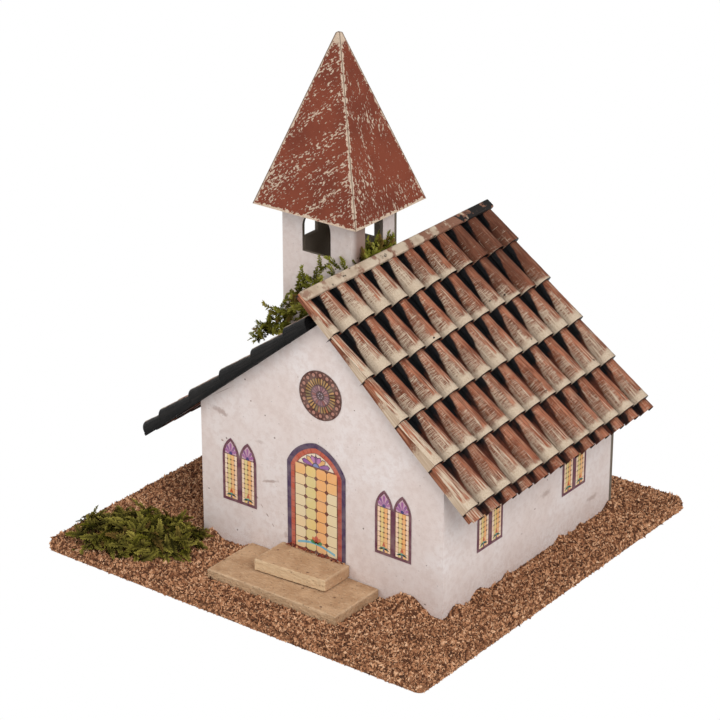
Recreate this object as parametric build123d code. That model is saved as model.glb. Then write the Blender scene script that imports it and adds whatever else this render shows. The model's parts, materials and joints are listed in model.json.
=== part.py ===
"""A tabletop model church: folded card walls, moulded tile sheets, a card bell tower and a cork-strewn base.

Millimetres, +Z up, the door faces -Y. The origin is the centre of the base board's underside.
"""

import math
import os

from build123d import *

# Base board and the cork granules strewn on it
BASE_X = 201.0
BASE_Y = 202.0
BOARD_T = 3.0
BOARD_CORNER_R = 3.0
CORK_SETBACK = 0.5
CORK_T = 1.8

# Heaps of cork against the walls: the largest one's size
HEAP_WIDTH = 24.0
HEAP_RISE = 6.0
HEAP_TOP_SHARE = 0.3
HEAP_SIDES = 9
# Each heap's place from the middle of its wall, left to right seen from outside, as a share of the wall's
# length, then its size as a share of the largest
HEAP_SHARES = {
    "front": ((-0.46, 0.5), (-0.3, 0.3), (0.364, 1.0)),
    "right": ((-0.43, 0.5), (-0.3, 0.55), (-0.14, 0.3), (0.174, 0.35), (0.3, 0.25), (0.485, 0.5)),
    "back": ((-0.36, 0.5), (0.05, 0.35), (0.3, 0.6)),
    "left": ((-0.38, 0.5), (-0.06, 0.35), (0.33, 0.55)),
}

# Card house
HOUSE_W = 128.0
HOUSE_D = 129.6
HOUSE_X = 13.5
HOUSE_Y = 10.3
WALL_T = 2.0
WALL_H = 65.2
GABLE_RISE = 52.3

# Two fibreboard steps under the door
STEP_T = 6.0
LOWER_STEP_X = -2.5
LOWER_STEP_W = 69.0
LOWER_STEP_D = 30.5
UPPER_STEP_X = -1.6
UPPER_STEP_W = 36.4
UPPER_STEP_LEFT_D = 20.0
UPPER_STEP_RIGHT_D = 17.2
STEP_EDGE = 0.4

# Moulded tile sheets
TILE_COLUMNS = 12
COURSE_PITCH = 22.5
FRONT_OVERHANG = 5.5
BACK_OVERHANG = 3.4
VERGE_MARGIN = 0.3
CHANNEL_FLOOR = 1.2
HEAD_CROWN = 4.2
LIP_CROWN = 6.2
HEAD_BARREL_R = 3.3
LIP_BARREL_R = 4.3
COURSE_LAP = 1.5
BARREL_SIDES = 16
HOLLOW_SIDES = 8
HOLLOW_R = 2.8
RIGHT_RIDGE_LAP = 14.2
RIGHT_FIRST_LIP = 8.3
RIGHT_EAVE_REACH = 102.4
RIGHT_VERGE_TOP_TRIM = 3.1
RIGHT_VERGE_EAVE_TRIM = 1.2
LEFT_RIDGE_GAP = 1.7
LEFT_FIRST_LIP = 15.2
LEFT_EAVE_REACH = 118.3
RIDGE_STRIP_W = 4.6
RIDGE_STRIP_T = 2.2
RIDGE_STRIP_ROUND = 0.9
RIDGE_STRIP_FRONT_STOP = 3.5
RIDGE_STRIP_BACK_STOP = 2.2

# Bell tower
TOWER_X = -20.05
TOWER_Y = 3.8
TOWER_W = 36.8
TOWER_D = 32.2
TOWER_CARD_T = 1.6
SPIRE_W = 55.2
SPIRE_D = 49.6
SPIRE_H = 77.5
SPIRE_TIP_CUT = 2.9
SPIRE_CARD_T = 2.0
SPIRE_EAVE_Z = 149.2
BELFRY_SILL_DROP = 19.5
BELFRY_CROWN_DROP = 0.8
BELFRY_FRONT_W = 15.2
BELFRY_SIDE_W = 12.6

# Printed paper door and windows
PRINT_T = 0.2
DOOR_X = -1.3
DOOR_W = 31.0
DOOR_H = 51.4
DOOR_ARCH_RISE = 12.0
ROSE_X = 1.2
ROSE_Z = 89.0
ROSE_R = 11.1
LANCET_SILL_Z = 25.5
LANCET_W = 9.3
LANCET_H = 30.0
LANCET_ARCH_RISE = 9.3
FRONT_WINDOW_LEFT_X = -43.0
FRONT_WINDOW_RIGHT_X = 38.8
SIDE_WINDOW_FRONT_Y = -31.3
SIDE_WINDOW_REAR_Y = 32.9

# Where an arch passes between its springing and its crown
DOOR_ARCH_MID_SHARES = (0.73, 0.62)
LANCET_ARCH_MID_SHARES = (0.735, 0.56)

# Moss
MOSS_X = -68.0
MOSS_Y = -77.5
MOSS_LENGTH = 56.0
MOSS_WIDTH = 38.0
MOSS_H = 8.0
MOSS_TURN = 25.0
MOSS_END_SHARE = 0.75
MOSS_TOP_SHARE = 0.55
MOSS_SIDES = 10
TOWER_MOSS_H = 15.0
TOWER_MOSS_LOW_H = 4.0
TOWER_MOSS_DEPTH = 15.0
TOWER_MOSS_TOP = 7.0
TOWER_MOSS_LENGTH = 58.0
RIDGE_MOSS_LENGTH = 24.0
RIDGE_MOSS_H = 15.0
MOSS_CLEARANCE = 0.3

# Cutting tools reach past what they cut by this much
OVERRUN = 5.0

# Places worked out from the sizes above
LEFT_X = HOUSE_X - HOUSE_W / 2
RIGHT_X = HOUSE_X + HOUSE_W / 2
FRONT_Y = HOUSE_Y - HOUSE_D / 2
BACK_Y = HOUSE_Y + HOUSE_D / 2
EAVE_Z = BOARD_T + WALL_H
APEX_Z = EAVE_Z + GABLE_RISE
CORK_Z = BOARD_T + CORK_T
CORK_OVER_Z = CORK_Z + HEAP_RISE + OVERRUN
ROOF_ANGLE = math.atan2(GABLE_RISE, HOUSE_W / 2)
ROOF_COS = math.cos(ROOF_ANGLE)
ROOF_SIN = math.sin(ROOF_ANGLE)
SHEET_LENGTH = HOUSE_D + FRONT_OVERHANG + BACK_OVERHANG
SHEET_FRONT_Y = FRONT_Y - FRONT_OVERHANG
SHEET_BACK_Y = BACK_Y + BACK_OVERHANG
TOWER_FRONT_Y = TOWER_Y - TOWER_D / 2
TOWER_RIGHT_X = TOWER_X + TOWER_W / 2
SPIRE_TOP_Z = SPIRE_EAVE_Z + SPIRE_H - SPIRE_TIP_CUT

# Each roof plane lies on the wall tops: local Y runs down the slope from the apex, local Z points outwards
RIGHT_ROOF = Plane(
    origin=(HOUSE_X, SHEET_BACK_Y, APEX_Z),
    x_dir=(0, -1, 0),
    z_dir=(ROOF_SIN, 0, ROOF_COS),
)
LEFT_ROOF = Plane(
    origin=(HOUSE_X, SHEET_FRONT_Y, APEX_Z),
    x_dir=(0, 1, 0),
    z_dir=(-ROOF_SIN, 0, ROOF_COS),
)


def block(x0, x1, y0, y1, z0, z1):
    """A plain block between two corners."""
    size = (x1 - x0, y1 - y0, z1 - z0)
    corner = (Align.MIN, Align.MIN, Align.MIN)
    return Pos(x0, y0, z0) * Box(*size, align=corner)


def prism(points, height):
    """An upright prism on a closed outline of (x, y) points, from z = 0."""
    return extrude(make_face(Polyline(*points, close=True)), amount=height)


# Base


def base_board():
    outline = RectangleRounded(BASE_X, BASE_Y, BOARD_CORNER_R)
    return extrude(outline, amount=BOARD_T)


def mound(width, height, sides, top_share):
    """A low many-sided mound on z = 0."""
    inset = width * (1 - top_share) / 2
    slope = math.degrees(math.atan2(inset, height))
    return extrude(RegularPolygon(width / 2, sides), amount=height, taper=slope)


def cork_heaps():
    """Mounds centred on the feet of the house walls."""
    made = []
    for side, places in HEAP_SHARES.items():
        wall_length = HOUSE_W if side in ("front", "back") else HOUSE_D
        for place_share, size_share in places:
            foot = wall_plane(side, wall_length * place_share).origin
            heap = mound(HEAP_WIDTH * size_share, HEAP_RISE * size_share, HEAP_SIDES, HEAP_TOP_SHARE)
            made.append(Pos(foot.X, foot.Y, CORK_Z) * heap)
    return made


def cork_ground():
    """The whole cork layer with its heaps, open where the house and the lower step stand."""
    cork_x = BASE_X - 2 * CORK_SETBACK
    cork_y = BASE_Y - 2 * CORK_SETBACK
    layer = Pos(0, 0, BOARD_T) * extrude(
        RectangleRounded(cork_x, cork_y, BOARD_CORNER_R), amount=CORK_T
    )
    house = block(LEFT_X, RIGHT_X, FRONT_Y, BACK_Y, 0, CORK_OVER_Z)
    step_x = HOUSE_X + LOWER_STEP_X
    step = block(
        step_x - LOWER_STEP_W / 2,
        step_x + LOWER_STEP_W / 2,
        FRONT_Y - LOWER_STEP_D,
        FRONT_Y,
        0,
        CORK_OVER_Z,
    )
    return layer + cork_heaps() - house - step


def cork_strips(cork):
    """The cork layer parted along the lines of the front and back walls."""
    half_x = BASE_X / 2
    half_y = BASE_Y / 2
    return {
        "cork_ground_front": cork & block(-half_x, half_x, -half_y, FRONT_Y, 0, CORK_OVER_Z),
        "cork_ground_back": cork & block(-half_x, half_x, BACK_Y, half_y, 0, CORK_OVER_Z),
        "cork_ground_left": cork & block(-half_x, LEFT_X, FRONT_Y, BACK_Y, 0, CORK_OVER_Z),
        "cork_ground_right": cork & block(RIGHT_X, half_x, FRONT_Y, BACK_Y, 0, CORK_OVER_Z),
    }


def lower_step():
    step_x = HOUSE_X + LOWER_STEP_X
    step = block(
        step_x - LOWER_STEP_W / 2,
        step_x + LOWER_STEP_W / 2,
        FRONT_Y - LOWER_STEP_D,
        FRONT_Y,
        BOARD_T,
        BOARD_T + STEP_T,
    )
    tread = step.faces().sort_by(Axis.Z)[-1]
    return chamfer(tread.edges().sort_by(Axis.Y)[0], STEP_EDGE)


def upper_step():
    """Sawn a little out of square: its left end is deeper than its right end."""
    left = HOUSE_X + UPPER_STEP_X - UPPER_STEP_W / 2
    right = HOUSE_X + UPPER_STEP_X + UPPER_STEP_W / 2
    outline = [
        (left, FRONT_Y),
        (left, FRONT_Y - UPPER_STEP_LEFT_D),
        (right, FRONT_Y - UPPER_STEP_RIGHT_D),
        (right, FRONT_Y),
    ]
    step = Pos(0, 0, BOARD_T + STEP_T) * prism(outline, STEP_T)
    tread = step.faces().sort_by(Axis.Z)[-1]
    return chamfer(tread.edges().sort_by(Axis.Y)[0], STEP_EDGE)


# Card walls


def folded_walls(centre_x, centre_y, width, depth, card, foot_z, top_z):
    """Four upright cards: front and sides mitred as one folded sheet, the back glued on behind them."""
    x0 = centre_x - width / 2
    x1 = centre_x + width / 2
    y0 = centre_y - depth / 2
    y1 = centre_y + depth / 2
    outlines = {
        "front": [(x0, y0), (x1, y0), (x1 - card, y0 + card), (x0 + card, y0 + card)],
        "left": [(x0, y0), (x0 + card, y0 + card), (x0 + card, y1 - card), (x0, y1 - card)],
        "right": [(x1, y0), (x1, y1 - card), (x1 - card, y1 - card), (x1 - card, y0 + card)],
        "back": [(x0, y1 - card), (x1, y1 - card), (x1, y1), (x0, y1)],
    }
    lift = Pos(0, 0, foot_z)
    return {side: lift * prism(points, top_z - foot_z) for side, points in outlines.items()}


def gable_volume():
    """The space under the two roof planes, as wide and deep as the house."""
    outline = Polyline(
        (LEFT_X, BOARD_T),
        (RIGHT_X, BOARD_T),
        (RIGHT_X, EAVE_Z),
        (HOUSE_X, APEX_Z),
        (LEFT_X, EAVE_Z),
        close=True,
    )
    front = Plane(origin=(0, FRONT_Y, 0), x_dir=(1, 0, 0), z_dir=(0, -1, 0))
    return extrude(front * make_face(outline), amount=-HOUSE_D)


def house_walls():
    volume = gable_volume()
    cards = folded_walls(HOUSE_X, HOUSE_Y, HOUSE_W, HOUSE_D, WALL_T, BOARD_T, APEX_Z)
    return {f"{side}_wall": card & volume for side, card in cards.items()}


# Moulded tile sheets


def crown_at(slope_y, head):
    """Height of a barrel's crown above the roof plane, on the straight line from its head to its lip."""
    return HEAD_CROWN + (LIP_CROWN - HEAD_CROWN) * (slope_y - head) / COURSE_PITCH


def barrel_centres():
    """Barrel axes along the sheet: the first and last barrels lie close to the verges."""
    first = VERGE_MARGIN + LIP_BARREL_R
    pitch = (SHEET_LENGTH - 2 * first) / (TILE_COLUMNS - 1)
    return [first + column * pitch for column in range(TILE_COLUMNS)]


def barrel(head):
    """One tapering many-sided barrel over x = 0, from under the course above down to its own lip."""
    crown_length = math.hypot(COURSE_PITCH, LIP_CROWN - HEAD_CROWN)
    crown_tilt = math.atan2(LIP_CROWN - HEAD_CROWN, COURSE_PITCH)
    flare = math.asin((LIP_BARREL_R - HEAD_BARREL_R) / crown_length)
    tilt = crown_tilt - flare
    along = Vector(0, math.cos(tilt), math.sin(tilt))
    above = Vector(0, -math.sin(tilt), math.cos(tilt))
    start = Vector(0, head, HEAD_CROWN) - above * HEAD_BARREL_R - along * COURSE_LAP
    start_r = HEAD_BARREL_R - COURSE_LAP * math.tan(flare)
    length = crown_length * math.cos(flare) + COURSE_LAP
    side_flare = math.atan(math.tan(flare) * math.cos(math.pi / BARREL_SIDES))
    section = RegularPolygon(start_r, BARREL_SIDES)
    flared = extrude(section, amount=length, taper=-math.degrees(side_flare))
    return Plane(origin=start, x_dir=(1, 0, 0), z_dir=along) * flared


def barrel_column(top, first_lip, bottom):
    """A run of lapped barrels, trimmed to the sheet's edges and to its flat underside."""
    column = None
    head = first_lip - COURSE_PITCH
    while head < bottom:
        column = barrel(head) if column is None else column + barrel(head)
        head += COURSE_PITCH
    return column & block(-LIP_BARREL_R, LIP_BARREL_R, top, bottom, 0, LIP_CROWN + OVERRUN)


def solid_tile_sheet(top, first_lip, bottom):
    """Columns of barrels on a flat sheet, each course stepping up at its lip."""
    column = barrel_column(top, first_lip, bottom)
    sheet = block(0, SHEET_LENGTH, top, bottom, 0, CHANNEL_FLOOR)
    return sheet + [Pos(centre, 0, 0) * column for centre in barrel_centres()]


def barrel_hollows(top, bottom):
    """The open undersides of the barrels, as one row of half-round grooves."""
    across = Plane(origin=(0, top - OVERRUN, 0), x_dir=(1, 0, 0), z_dir=(0, -1, 0))
    rounds = [Pos(centre, 0) * RegularPolygon(HOLLOW_R, HOLLOW_SIDES) for centre in barrel_centres()]
    length = bottom - top + 2 * OVERRUN
    return [extrude(across * round_, amount=-length) for round_ in rounds]


def right_verge_offcut():
    """The tapering strip cut off the right sheet's front edge, wider at the ridge than at the eave."""
    outline = [
        (SHEET_LENGTH - RIGHT_VERGE_TOP_TRIM, -RIGHT_RIDGE_LAP),
        (SHEET_LENGTH, -RIGHT_RIDGE_LAP),
        (SHEET_LENGTH, RIGHT_EAVE_REACH),
        (SHEET_LENGTH - RIGHT_VERGE_EAVE_TRIM, RIGHT_EAVE_REACH),
    ]
    return prism(outline, LIP_CROWN + OVERRUN)


def tile_sheets():
    right = solid_tile_sheet(-RIGHT_RIDGE_LAP, RIGHT_FIRST_LIP, RIGHT_EAVE_REACH)
    left = solid_tile_sheet(LEFT_RIDGE_GAP, LEFT_FIRST_LIP, LEFT_EAVE_REACH)
    return right, left


def ridge_strip():
    """A rounded strip along the right sheet's top edge, bedded on the crowns of the first course."""
    first_head = RIGHT_FIRST_LIP - COURSE_PITCH
    top = -RIGHT_RIDGE_LAP
    foot = top + RIDGE_STRIP_W
    bed_top = crown_at(top, first_head)
    bed_foot = crown_at(foot, first_head)
    outline = Polyline(
        (top, bed_top),
        (foot, bed_foot),
        (foot, bed_foot + RIDGE_STRIP_T),
        (top, bed_top + RIDGE_STRIP_T),
        close=True,
    )
    face = make_face(outline)
    upper = face.vertices().sort_by(Axis.Y)[-2:]
    face = fillet(upper, RIDGE_STRIP_ROUND)
    side = Plane(origin=(RIDGE_STRIP_BACK_STOP, 0, 0), x_dir=(0, 1, 0), z_dir=(1, 0, 0))
    length = SHEET_LENGTH - RIDGE_STRIP_BACK_STOP - RIDGE_STRIP_FRONT_STOP
    return RIGHT_ROOF * extrude(side * face, amount=length)


# Bell tower


def pyramid(width, depth, height):
    """A four-sided pyramid over the tower's centre, standing at the spire's eaves."""
    foot = Pos(TOWER_X, TOWER_Y, SPIRE_EAVE_Z) * Rectangle(width, depth)
    return loft([foot.face(), Vertex(TOWER_X, TOWER_Y, SPIRE_EAVE_Z + height)])


def spire_volumes():
    """The spire's outer pyramid, and the pyramid left inside once its cards have their thickness."""
    wide_slant = math.hypot(SPIRE_W / 2, SPIRE_H)
    deep_slant = math.hypot(SPIRE_D / 2, SPIRE_H)
    inner_w = SPIRE_W - 2 * SPIRE_CARD_T * wide_slant / SPIRE_H
    inner_d = SPIRE_D - 2 * SPIRE_CARD_T * deep_slant / SPIRE_H
    steeper_drop = max(SPIRE_CARD_T * wide_slant / SPIRE_W, SPIRE_CARD_T * deep_slant / SPIRE_D)
    outer = pyramid(SPIRE_W, SPIRE_D, SPIRE_H)
    inner = pyramid(inner_w, inner_d, SPIRE_H - 2 * steeper_drop)
    return outer, inner


def spire_cards():
    """Four cards, mitred along the hips and worn blunt at the tip."""
    outer, inner = spire_volumes()
    shell = outer - inner
    wide, deep = SPIRE_W, SPIRE_D
    corners = {
        "front": [(-wide, -deep), (wide, -deep)],
        "right": [(wide, -deep), (wide, deep)],
        "back": [(wide, deep), (-wide, deep)],
        "left": [(-wide, deep), (-wide, -deep)],
    }
    place = Pos(TOWER_X, TOWER_Y, SPIRE_EAVE_Z - OVERRUN)
    height = SPIRE_TOP_Z - SPIRE_EAVE_Z + OVERRUN
    return {
        f"spire_{side}_card": shell & (place * prism([(0, 0), *pair], height))
        for side, pair in corners.items()
    }


def belfry_arch(width):
    """A round-headed opening, drawn flat with its sill at the given height."""
    sill = SPIRE_EAVE_Z - BELFRY_SILL_DROP
    spring = SPIRE_EAVE_Z - BELFRY_CROWN_DROP - width / 2
    half = width / 2
    outline = [
        Polyline((-half, spring), (-half, sill), (half, sill), (half, spring)),
        ThreePointArc((half, spring), (0, spring + half), (-half, spring)),
    ]
    return make_face(outline)


def tower_walls(roof_volume):
    """Four cards with belfry openings, scribed to the roof below and bevelled to the spire above."""
    cards = folded_walls(TOWER_X, TOWER_Y, TOWER_W, TOWER_D, TOWER_CARD_T, BOARD_T, SPIRE_TOP_Z)
    _, inner_spire = spire_volumes()
    shaft = block(
        TOWER_X - SPIRE_W / 2,
        TOWER_X + SPIRE_W / 2,
        TOWER_Y - SPIRE_D / 2,
        TOWER_Y + SPIRE_D / 2,
        BOARD_T,
        SPIRE_EAVE_Z,
    )
    under_spire = shaft + inner_spire
    facing_front = Plane(origin=(TOWER_X, TOWER_Y, 0), x_dir=(1, 0, 0), z_dir=(0, -1, 0))
    facing_side = Plane(origin=(TOWER_X, TOWER_Y, 0), x_dir=(0, 1, 0), z_dir=(1, 0, 0))
    front_hole = extrude(facing_front * belfry_arch(BELFRY_FRONT_W), amount=TOWER_D, both=True)
    side_hole = extrude(facing_side * belfry_arch(BELFRY_SIDE_W), amount=TOWER_W, both=True)
    holes = {"front": front_hole, "back": front_hole, "left": side_hole, "right": side_hole}
    walls = {}
    for side, card in cards.items():
        wall = (card & under_spire) - holes[side]
        for volume in roof_volume:
            wall = wall - volume
        walls[f"tower_{side}_wall"] = wall
    return walls


# Printed paper


def arch_outline(width, height, rise, mid_shares):
    """A pointed arch standing on (0, 0), as a closed face."""
    half = width / 2
    spring = height - rise
    mid_x = half * mid_shares[0]
    mid_z = spring + rise * mid_shares[1]
    outline = [
        Polyline((-half, spring), (-half, 0), (half, 0), (half, spring)),
        ThreePointArc((half, spring), (mid_x, mid_z), (0, height)),
        ThreePointArc((0, height), (-mid_x, mid_z), (-half, spring)),
    ]
    return make_face(outline)


def lancet_pair():
    """Two pointed windows that share their middle post."""
    lancet = arch_outline(LANCET_W, LANCET_H, LANCET_ARCH_RISE, LANCET_ARCH_MID_SHARES)
    return Pos(-LANCET_W / 2, 0) * lancet + Pos(LANCET_W / 2, 0) * lancet


def wall_plane(side, along):
    """The outer face of one house wall: local X runs along the wall, local Y is height above z = 0."""
    if side == "front":
        return Plane(origin=(HOUSE_X + along, FRONT_Y, 0), x_dir=(1, 0, 0), z_dir=(0, -1, 0))
    if side == "back":
        return Plane(origin=(HOUSE_X - along, BACK_Y, 0), x_dir=(-1, 0, 0), z_dir=(0, 1, 0))
    if side == "right":
        return Plane(origin=(RIGHT_X, HOUSE_Y + along, 0), x_dir=(0, 1, 0), z_dir=(1, 0, 0))
    return Plane(origin=(LEFT_X, HOUSE_Y + along, 0), x_dir=(0, -1, 0), z_dir=(-1, 0, 0))


def paper(side, along, height, outline):
    """A paper cut to an outline and pasted on a wall."""
    return extrude(wall_plane(side, along) * (Pos(0, height) * outline), amount=PRINT_T)


def prints():
    step_top = BOARD_T + 2 * STEP_T
    door = arch_outline(DOOR_W, DOOR_H, DOOR_ARCH_RISE, DOOR_ARCH_MID_SHARES)
    windows = {
        "front_left": ("front", FRONT_WINDOW_LEFT_X),
        "front_right": ("front", FRONT_WINDOW_RIGHT_X),
        "right_front": ("right", SIDE_WINDOW_FRONT_Y),
        "right_rear": ("right", SIDE_WINDOW_REAR_Y),
        "left_front": ("left", SIDE_WINDOW_FRONT_Y),
        "left_rear": ("left", SIDE_WINDOW_REAR_Y),
        "back_left": ("back", FRONT_WINDOW_LEFT_X),
        "back_right": ("back", FRONT_WINDOW_RIGHT_X),
    }
    made = {
        "door_print": paper("front", DOOR_X, step_top, door),
        "rose_window_print": paper("front", ROSE_X, ROSE_Z, Circle(ROSE_R)),
    }
    for place, (side, along) in windows.items():
        made[f"window_print_{place}"] = paper(side, along, LANCET_SILL_Z, lancet_pair())
    return made


# Moss


def ground_moss(cork):
    """Three mounds run together into one clump, lying on the cork and its heaps."""
    end_width = MOSS_WIDTH * MOSS_END_SHARE
    end = mound(end_width, MOSS_H * MOSS_END_SHARE, MOSS_SIDES, MOSS_TOP_SHARE)
    middle = mound(MOSS_WIDTH, MOSS_H, MOSS_SIDES, MOSS_TOP_SHARE)
    reach = (MOSS_LENGTH - end_width) / 2
    clump = middle + Pos(-reach, 0, 0) * end + Pos(reach, 0, 0) * end
    return Pos(MOSS_X, MOSS_Y, CORK_Z) * Rot(0, 0, MOSS_TURN) * clump - cork


def tower_front_moss():
    """A wedge of moss before the tower's front card, lying on the left sheet's crowns."""
    outline = Polyline(
        (TOWER_MOSS_TOP, LIP_CROWN),
        (TOWER_MOSS_TOP + TOWER_MOSS_LENGTH, LIP_CROWN),
        (TOWER_MOSS_TOP + TOWER_MOSS_LENGTH, LIP_CROWN + TOWER_MOSS_LOW_H),
        (TOWER_MOSS_TOP, LIP_CROWN + TOWER_MOSS_H),
        close=True,
    )
    near = TOWER_FRONT_Y - SHEET_FRONT_Y - MOSS_CLEARANCE - TOWER_MOSS_DEPTH
    side = Plane(origin=(near, 0, 0), x_dir=(0, 1, 0), z_dir=(1, 0, 0))
    return LEFT_ROOF * extrude(side * make_face(outline), amount=TOWER_MOSS_DEPTH)


def ridge_moss():
    """Moss tucked between the tower's right card and the top edge of the right sheet."""
    x0 = TOWER_RIGHT_X + MOSS_CLEARANCE
    x1 = HOUSE_X - RIGHT_RIDGE_LAP * ROOF_COS - MOSS_CLEARANCE
    fall = (HOUSE_X - x0) * math.tan(ROOF_ANGLE)
    bed = APEX_Z - fall + LIP_CROWN / ROOF_COS
    lean = (x1 - x0) * math.tan(ROOF_ANGLE)
    outline = Polyline(
        (x0, bed),
        (x1, bed + lean),
        (x1, bed + lean + RIDGE_MOSS_H / 2),
        (x0, bed + RIDGE_MOSS_H),
        close=True,
    )
    front = Plane(origin=(0, TOWER_Y - RIDGE_MOSS_LENGTH / 2, 0), x_dir=(1, 0, 0), z_dir=(0, -1, 0))
    return extrude(front * make_face(outline), amount=-RIDGE_MOSS_LENGTH)


def build():
    right_tiles, left_tiles = tile_sheets()
    right_sheet = right_tiles - barrel_hollows(-RIGHT_RIDGE_LAP, RIGHT_EAVE_REACH)
    right_sheet -= right_verge_offcut()
    left_sheet = left_tiles - barrel_hollows(LEFT_RIDGE_GAP, LEFT_EAVE_REACH)
    cork = cork_ground()
    return {
        "base_board": base_board(),
        **cork_strips(cork),
        "lower_step": lower_step(),
        "upper_step": upper_step(),
        **house_walls(),
        "roof_sheet_right": RIGHT_ROOF * right_sheet,
        "roof_sheet_left": LEFT_ROOF * left_sheet,
        "ridge_strip": ridge_strip(),
        **tower_walls([gable_volume(), LEFT_ROOF * left_tiles]),
        **spire_cards(),
        **prints(),
        "moss_ground": ground_moss(cork),
        "moss_tower_front": tower_front_moss(),
        "moss_ridge": ridge_moss(),
    }


os.makedirs("parts", exist_ok=True)
for name, shape in build().items():
    export_step(shape, f"parts/{name}.step")
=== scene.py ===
# %% [markdown]
# # A model church, from CAD frame to finished picture
# The CAD parts give every piece its true size and place.
# This script adds what a hand gives such a model: brushed paint, printed paper, cork crumbs and moss.
# Each cell below makes one kind of thing and prints what it made.

# %% Load the CAD frame
import json
import math
import random

import bmesh
import bpy
from mathutils import Matrix, Vector

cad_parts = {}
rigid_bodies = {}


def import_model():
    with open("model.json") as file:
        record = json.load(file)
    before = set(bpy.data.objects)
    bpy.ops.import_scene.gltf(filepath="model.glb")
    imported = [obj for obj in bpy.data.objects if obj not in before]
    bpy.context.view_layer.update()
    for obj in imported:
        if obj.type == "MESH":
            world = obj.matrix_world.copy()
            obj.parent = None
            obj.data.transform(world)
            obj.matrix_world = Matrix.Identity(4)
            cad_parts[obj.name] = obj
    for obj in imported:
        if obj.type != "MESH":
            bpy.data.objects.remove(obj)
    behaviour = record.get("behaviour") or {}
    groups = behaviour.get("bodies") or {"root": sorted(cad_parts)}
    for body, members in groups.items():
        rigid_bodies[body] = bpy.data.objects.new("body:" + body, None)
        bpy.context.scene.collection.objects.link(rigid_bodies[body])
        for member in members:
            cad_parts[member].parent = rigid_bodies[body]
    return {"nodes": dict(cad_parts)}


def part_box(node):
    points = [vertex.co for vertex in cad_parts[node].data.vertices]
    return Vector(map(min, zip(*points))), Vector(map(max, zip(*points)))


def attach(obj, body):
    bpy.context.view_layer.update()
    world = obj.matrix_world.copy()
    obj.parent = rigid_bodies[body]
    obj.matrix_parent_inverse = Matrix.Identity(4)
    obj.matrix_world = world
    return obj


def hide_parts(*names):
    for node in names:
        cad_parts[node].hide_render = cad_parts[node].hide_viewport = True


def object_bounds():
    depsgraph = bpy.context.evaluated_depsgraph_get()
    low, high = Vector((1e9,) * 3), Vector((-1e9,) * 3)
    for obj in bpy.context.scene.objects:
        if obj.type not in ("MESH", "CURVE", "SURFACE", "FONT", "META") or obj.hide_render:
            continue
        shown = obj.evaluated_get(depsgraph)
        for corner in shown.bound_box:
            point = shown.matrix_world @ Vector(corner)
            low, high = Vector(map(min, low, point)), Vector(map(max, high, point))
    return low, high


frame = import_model()
cad_low, cad_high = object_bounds()
scene = bpy.context.scene
MM = 0.001
print("CAD box in metres", tuple(cad_low), tuple(cad_high))

# %% [markdown]
# ## Where things are
# Looks that sit on the CAD need its sizes. Typed again here, they would stay behind when the CAD changes,
# so they are read from the boxes of a few pieces.
# The house's box gives the wall faces, and the gable's rise over half its width gives the roof's slope.

# %% Places read from the CAD
front_low, front_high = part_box("front_wall")
_, back_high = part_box("back_wall")
right_low, right_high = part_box("right_wall")
tower_low, tower_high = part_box("tower_back_wall")
tower_front_low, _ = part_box("tower_front_wall")
spire_low, spire_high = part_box("spire_front_card")
spire_side_low, spire_side_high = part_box("spire_right_card")
sheet_low, sheet_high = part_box("roof_sheet_left")
LEFT_X, RIGHT_X = front_low.x, front_high.x
FRONT_Y, BACK_Y = front_low.y, back_high.y
FOOT_Z, APEX_Z = front_low.z, front_high.z
HOUSE_X, HOUSE_Y = (LEFT_X + RIGHT_X) / 2, (FRONT_Y + BACK_Y) / 2
SLOPE = math.atan2(APEX_Z - right_high.z, right_low.x - HOUSE_X)
TOWER_X = (tower_low.x + tower_high.x) / 2
TOWER_Y = (tower_front_low.y + tower_high.y) / 2
TOWER_HALF_X = (tower_high.x - tower_low.x) / 2
TOWER_HALF_Y = (tower_high.y - tower_front_low.y) / 2
SPIRE_FOOT, SPIRE_TOP = spire_low.z, spire_high.z
SPIRE_W = spire_high.x - spire_low.x
SPIRE_D = spire_side_high.y - spire_side_low.y
SHEET_FRONT, SHEET_BACK = sheet_low.y, sheet_high.y
SHEET_LENGTH = SHEET_BACK - SHEET_FRONT
print("roof slope in degrees", round(math.degrees(SLOPE), 1))

# %% [markdown]
# ## Short names for node trees
# A material or a Geometry Nodes tree is a list of nodes joined by links.
# Written out in full, each node takes several lines, so these helpers add a node and fill its inputs in one.
# A socket given as a value is linked, and any other value is set on the input.

# %% Node helpers
FLOAT, VECTOR, WHOLE = "NodeSocketFloat", "NodeSocketVector", "NodeSocketInt"
OBJECT, COLLECTION = "NodeSocketObject", "NodeSocketCollection"
MATERIAL, GEOMETRY = "NodeSocketMaterial", "NodeSocketGeometry"


def put(tree, kind, values=None, **settings):
    node = tree.nodes.new(kind)
    for key, value in settings.items():
        setattr(node, key, value)
    for key, value in (values or {}).items():
        if isinstance(value, bpy.types.NodeSocket):
            tree.links.new(value, node.inputs[key])
        else:
            node.inputs[key].default_value = value
    return node


def calc(tree, operation, a, b=0.0, c=0.0, clamp=False):
    node = put(tree, "ShaderNodeMath", {0: a, 1: b, 2: c}, operation=operation, use_clamp=clamp)
    return node.outputs[0]


def times(tree, a, b):
    return calc(tree, "MULTIPLY", a, b)


def plus(tree, a, b):
    return calc(tree, "ADD", a, b)


def minus(tree, a, b):
    return calc(tree, "SUBTRACT", a, b)


def larger(tree, a, b):
    return calc(tree, "MAXIMUM", a, b)


def vector(tree, operation, a, b=(0, 0, 0)):
    return put(tree, "ShaderNodeVectorMath", {0: a, 1: b}, operation=operation).outputs[0]


def scaled(tree, direction, by):
    return put(tree, "ShaderNodeVectorMath", {0: direction, 3: by}, operation="SCALE").outputs[0]


def dot(tree, a, b):
    return put(tree, "ShaderNodeVectorMath", {0: a, 1: b}, operation="DOT_PRODUCT").outputs["Value"]


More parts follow.
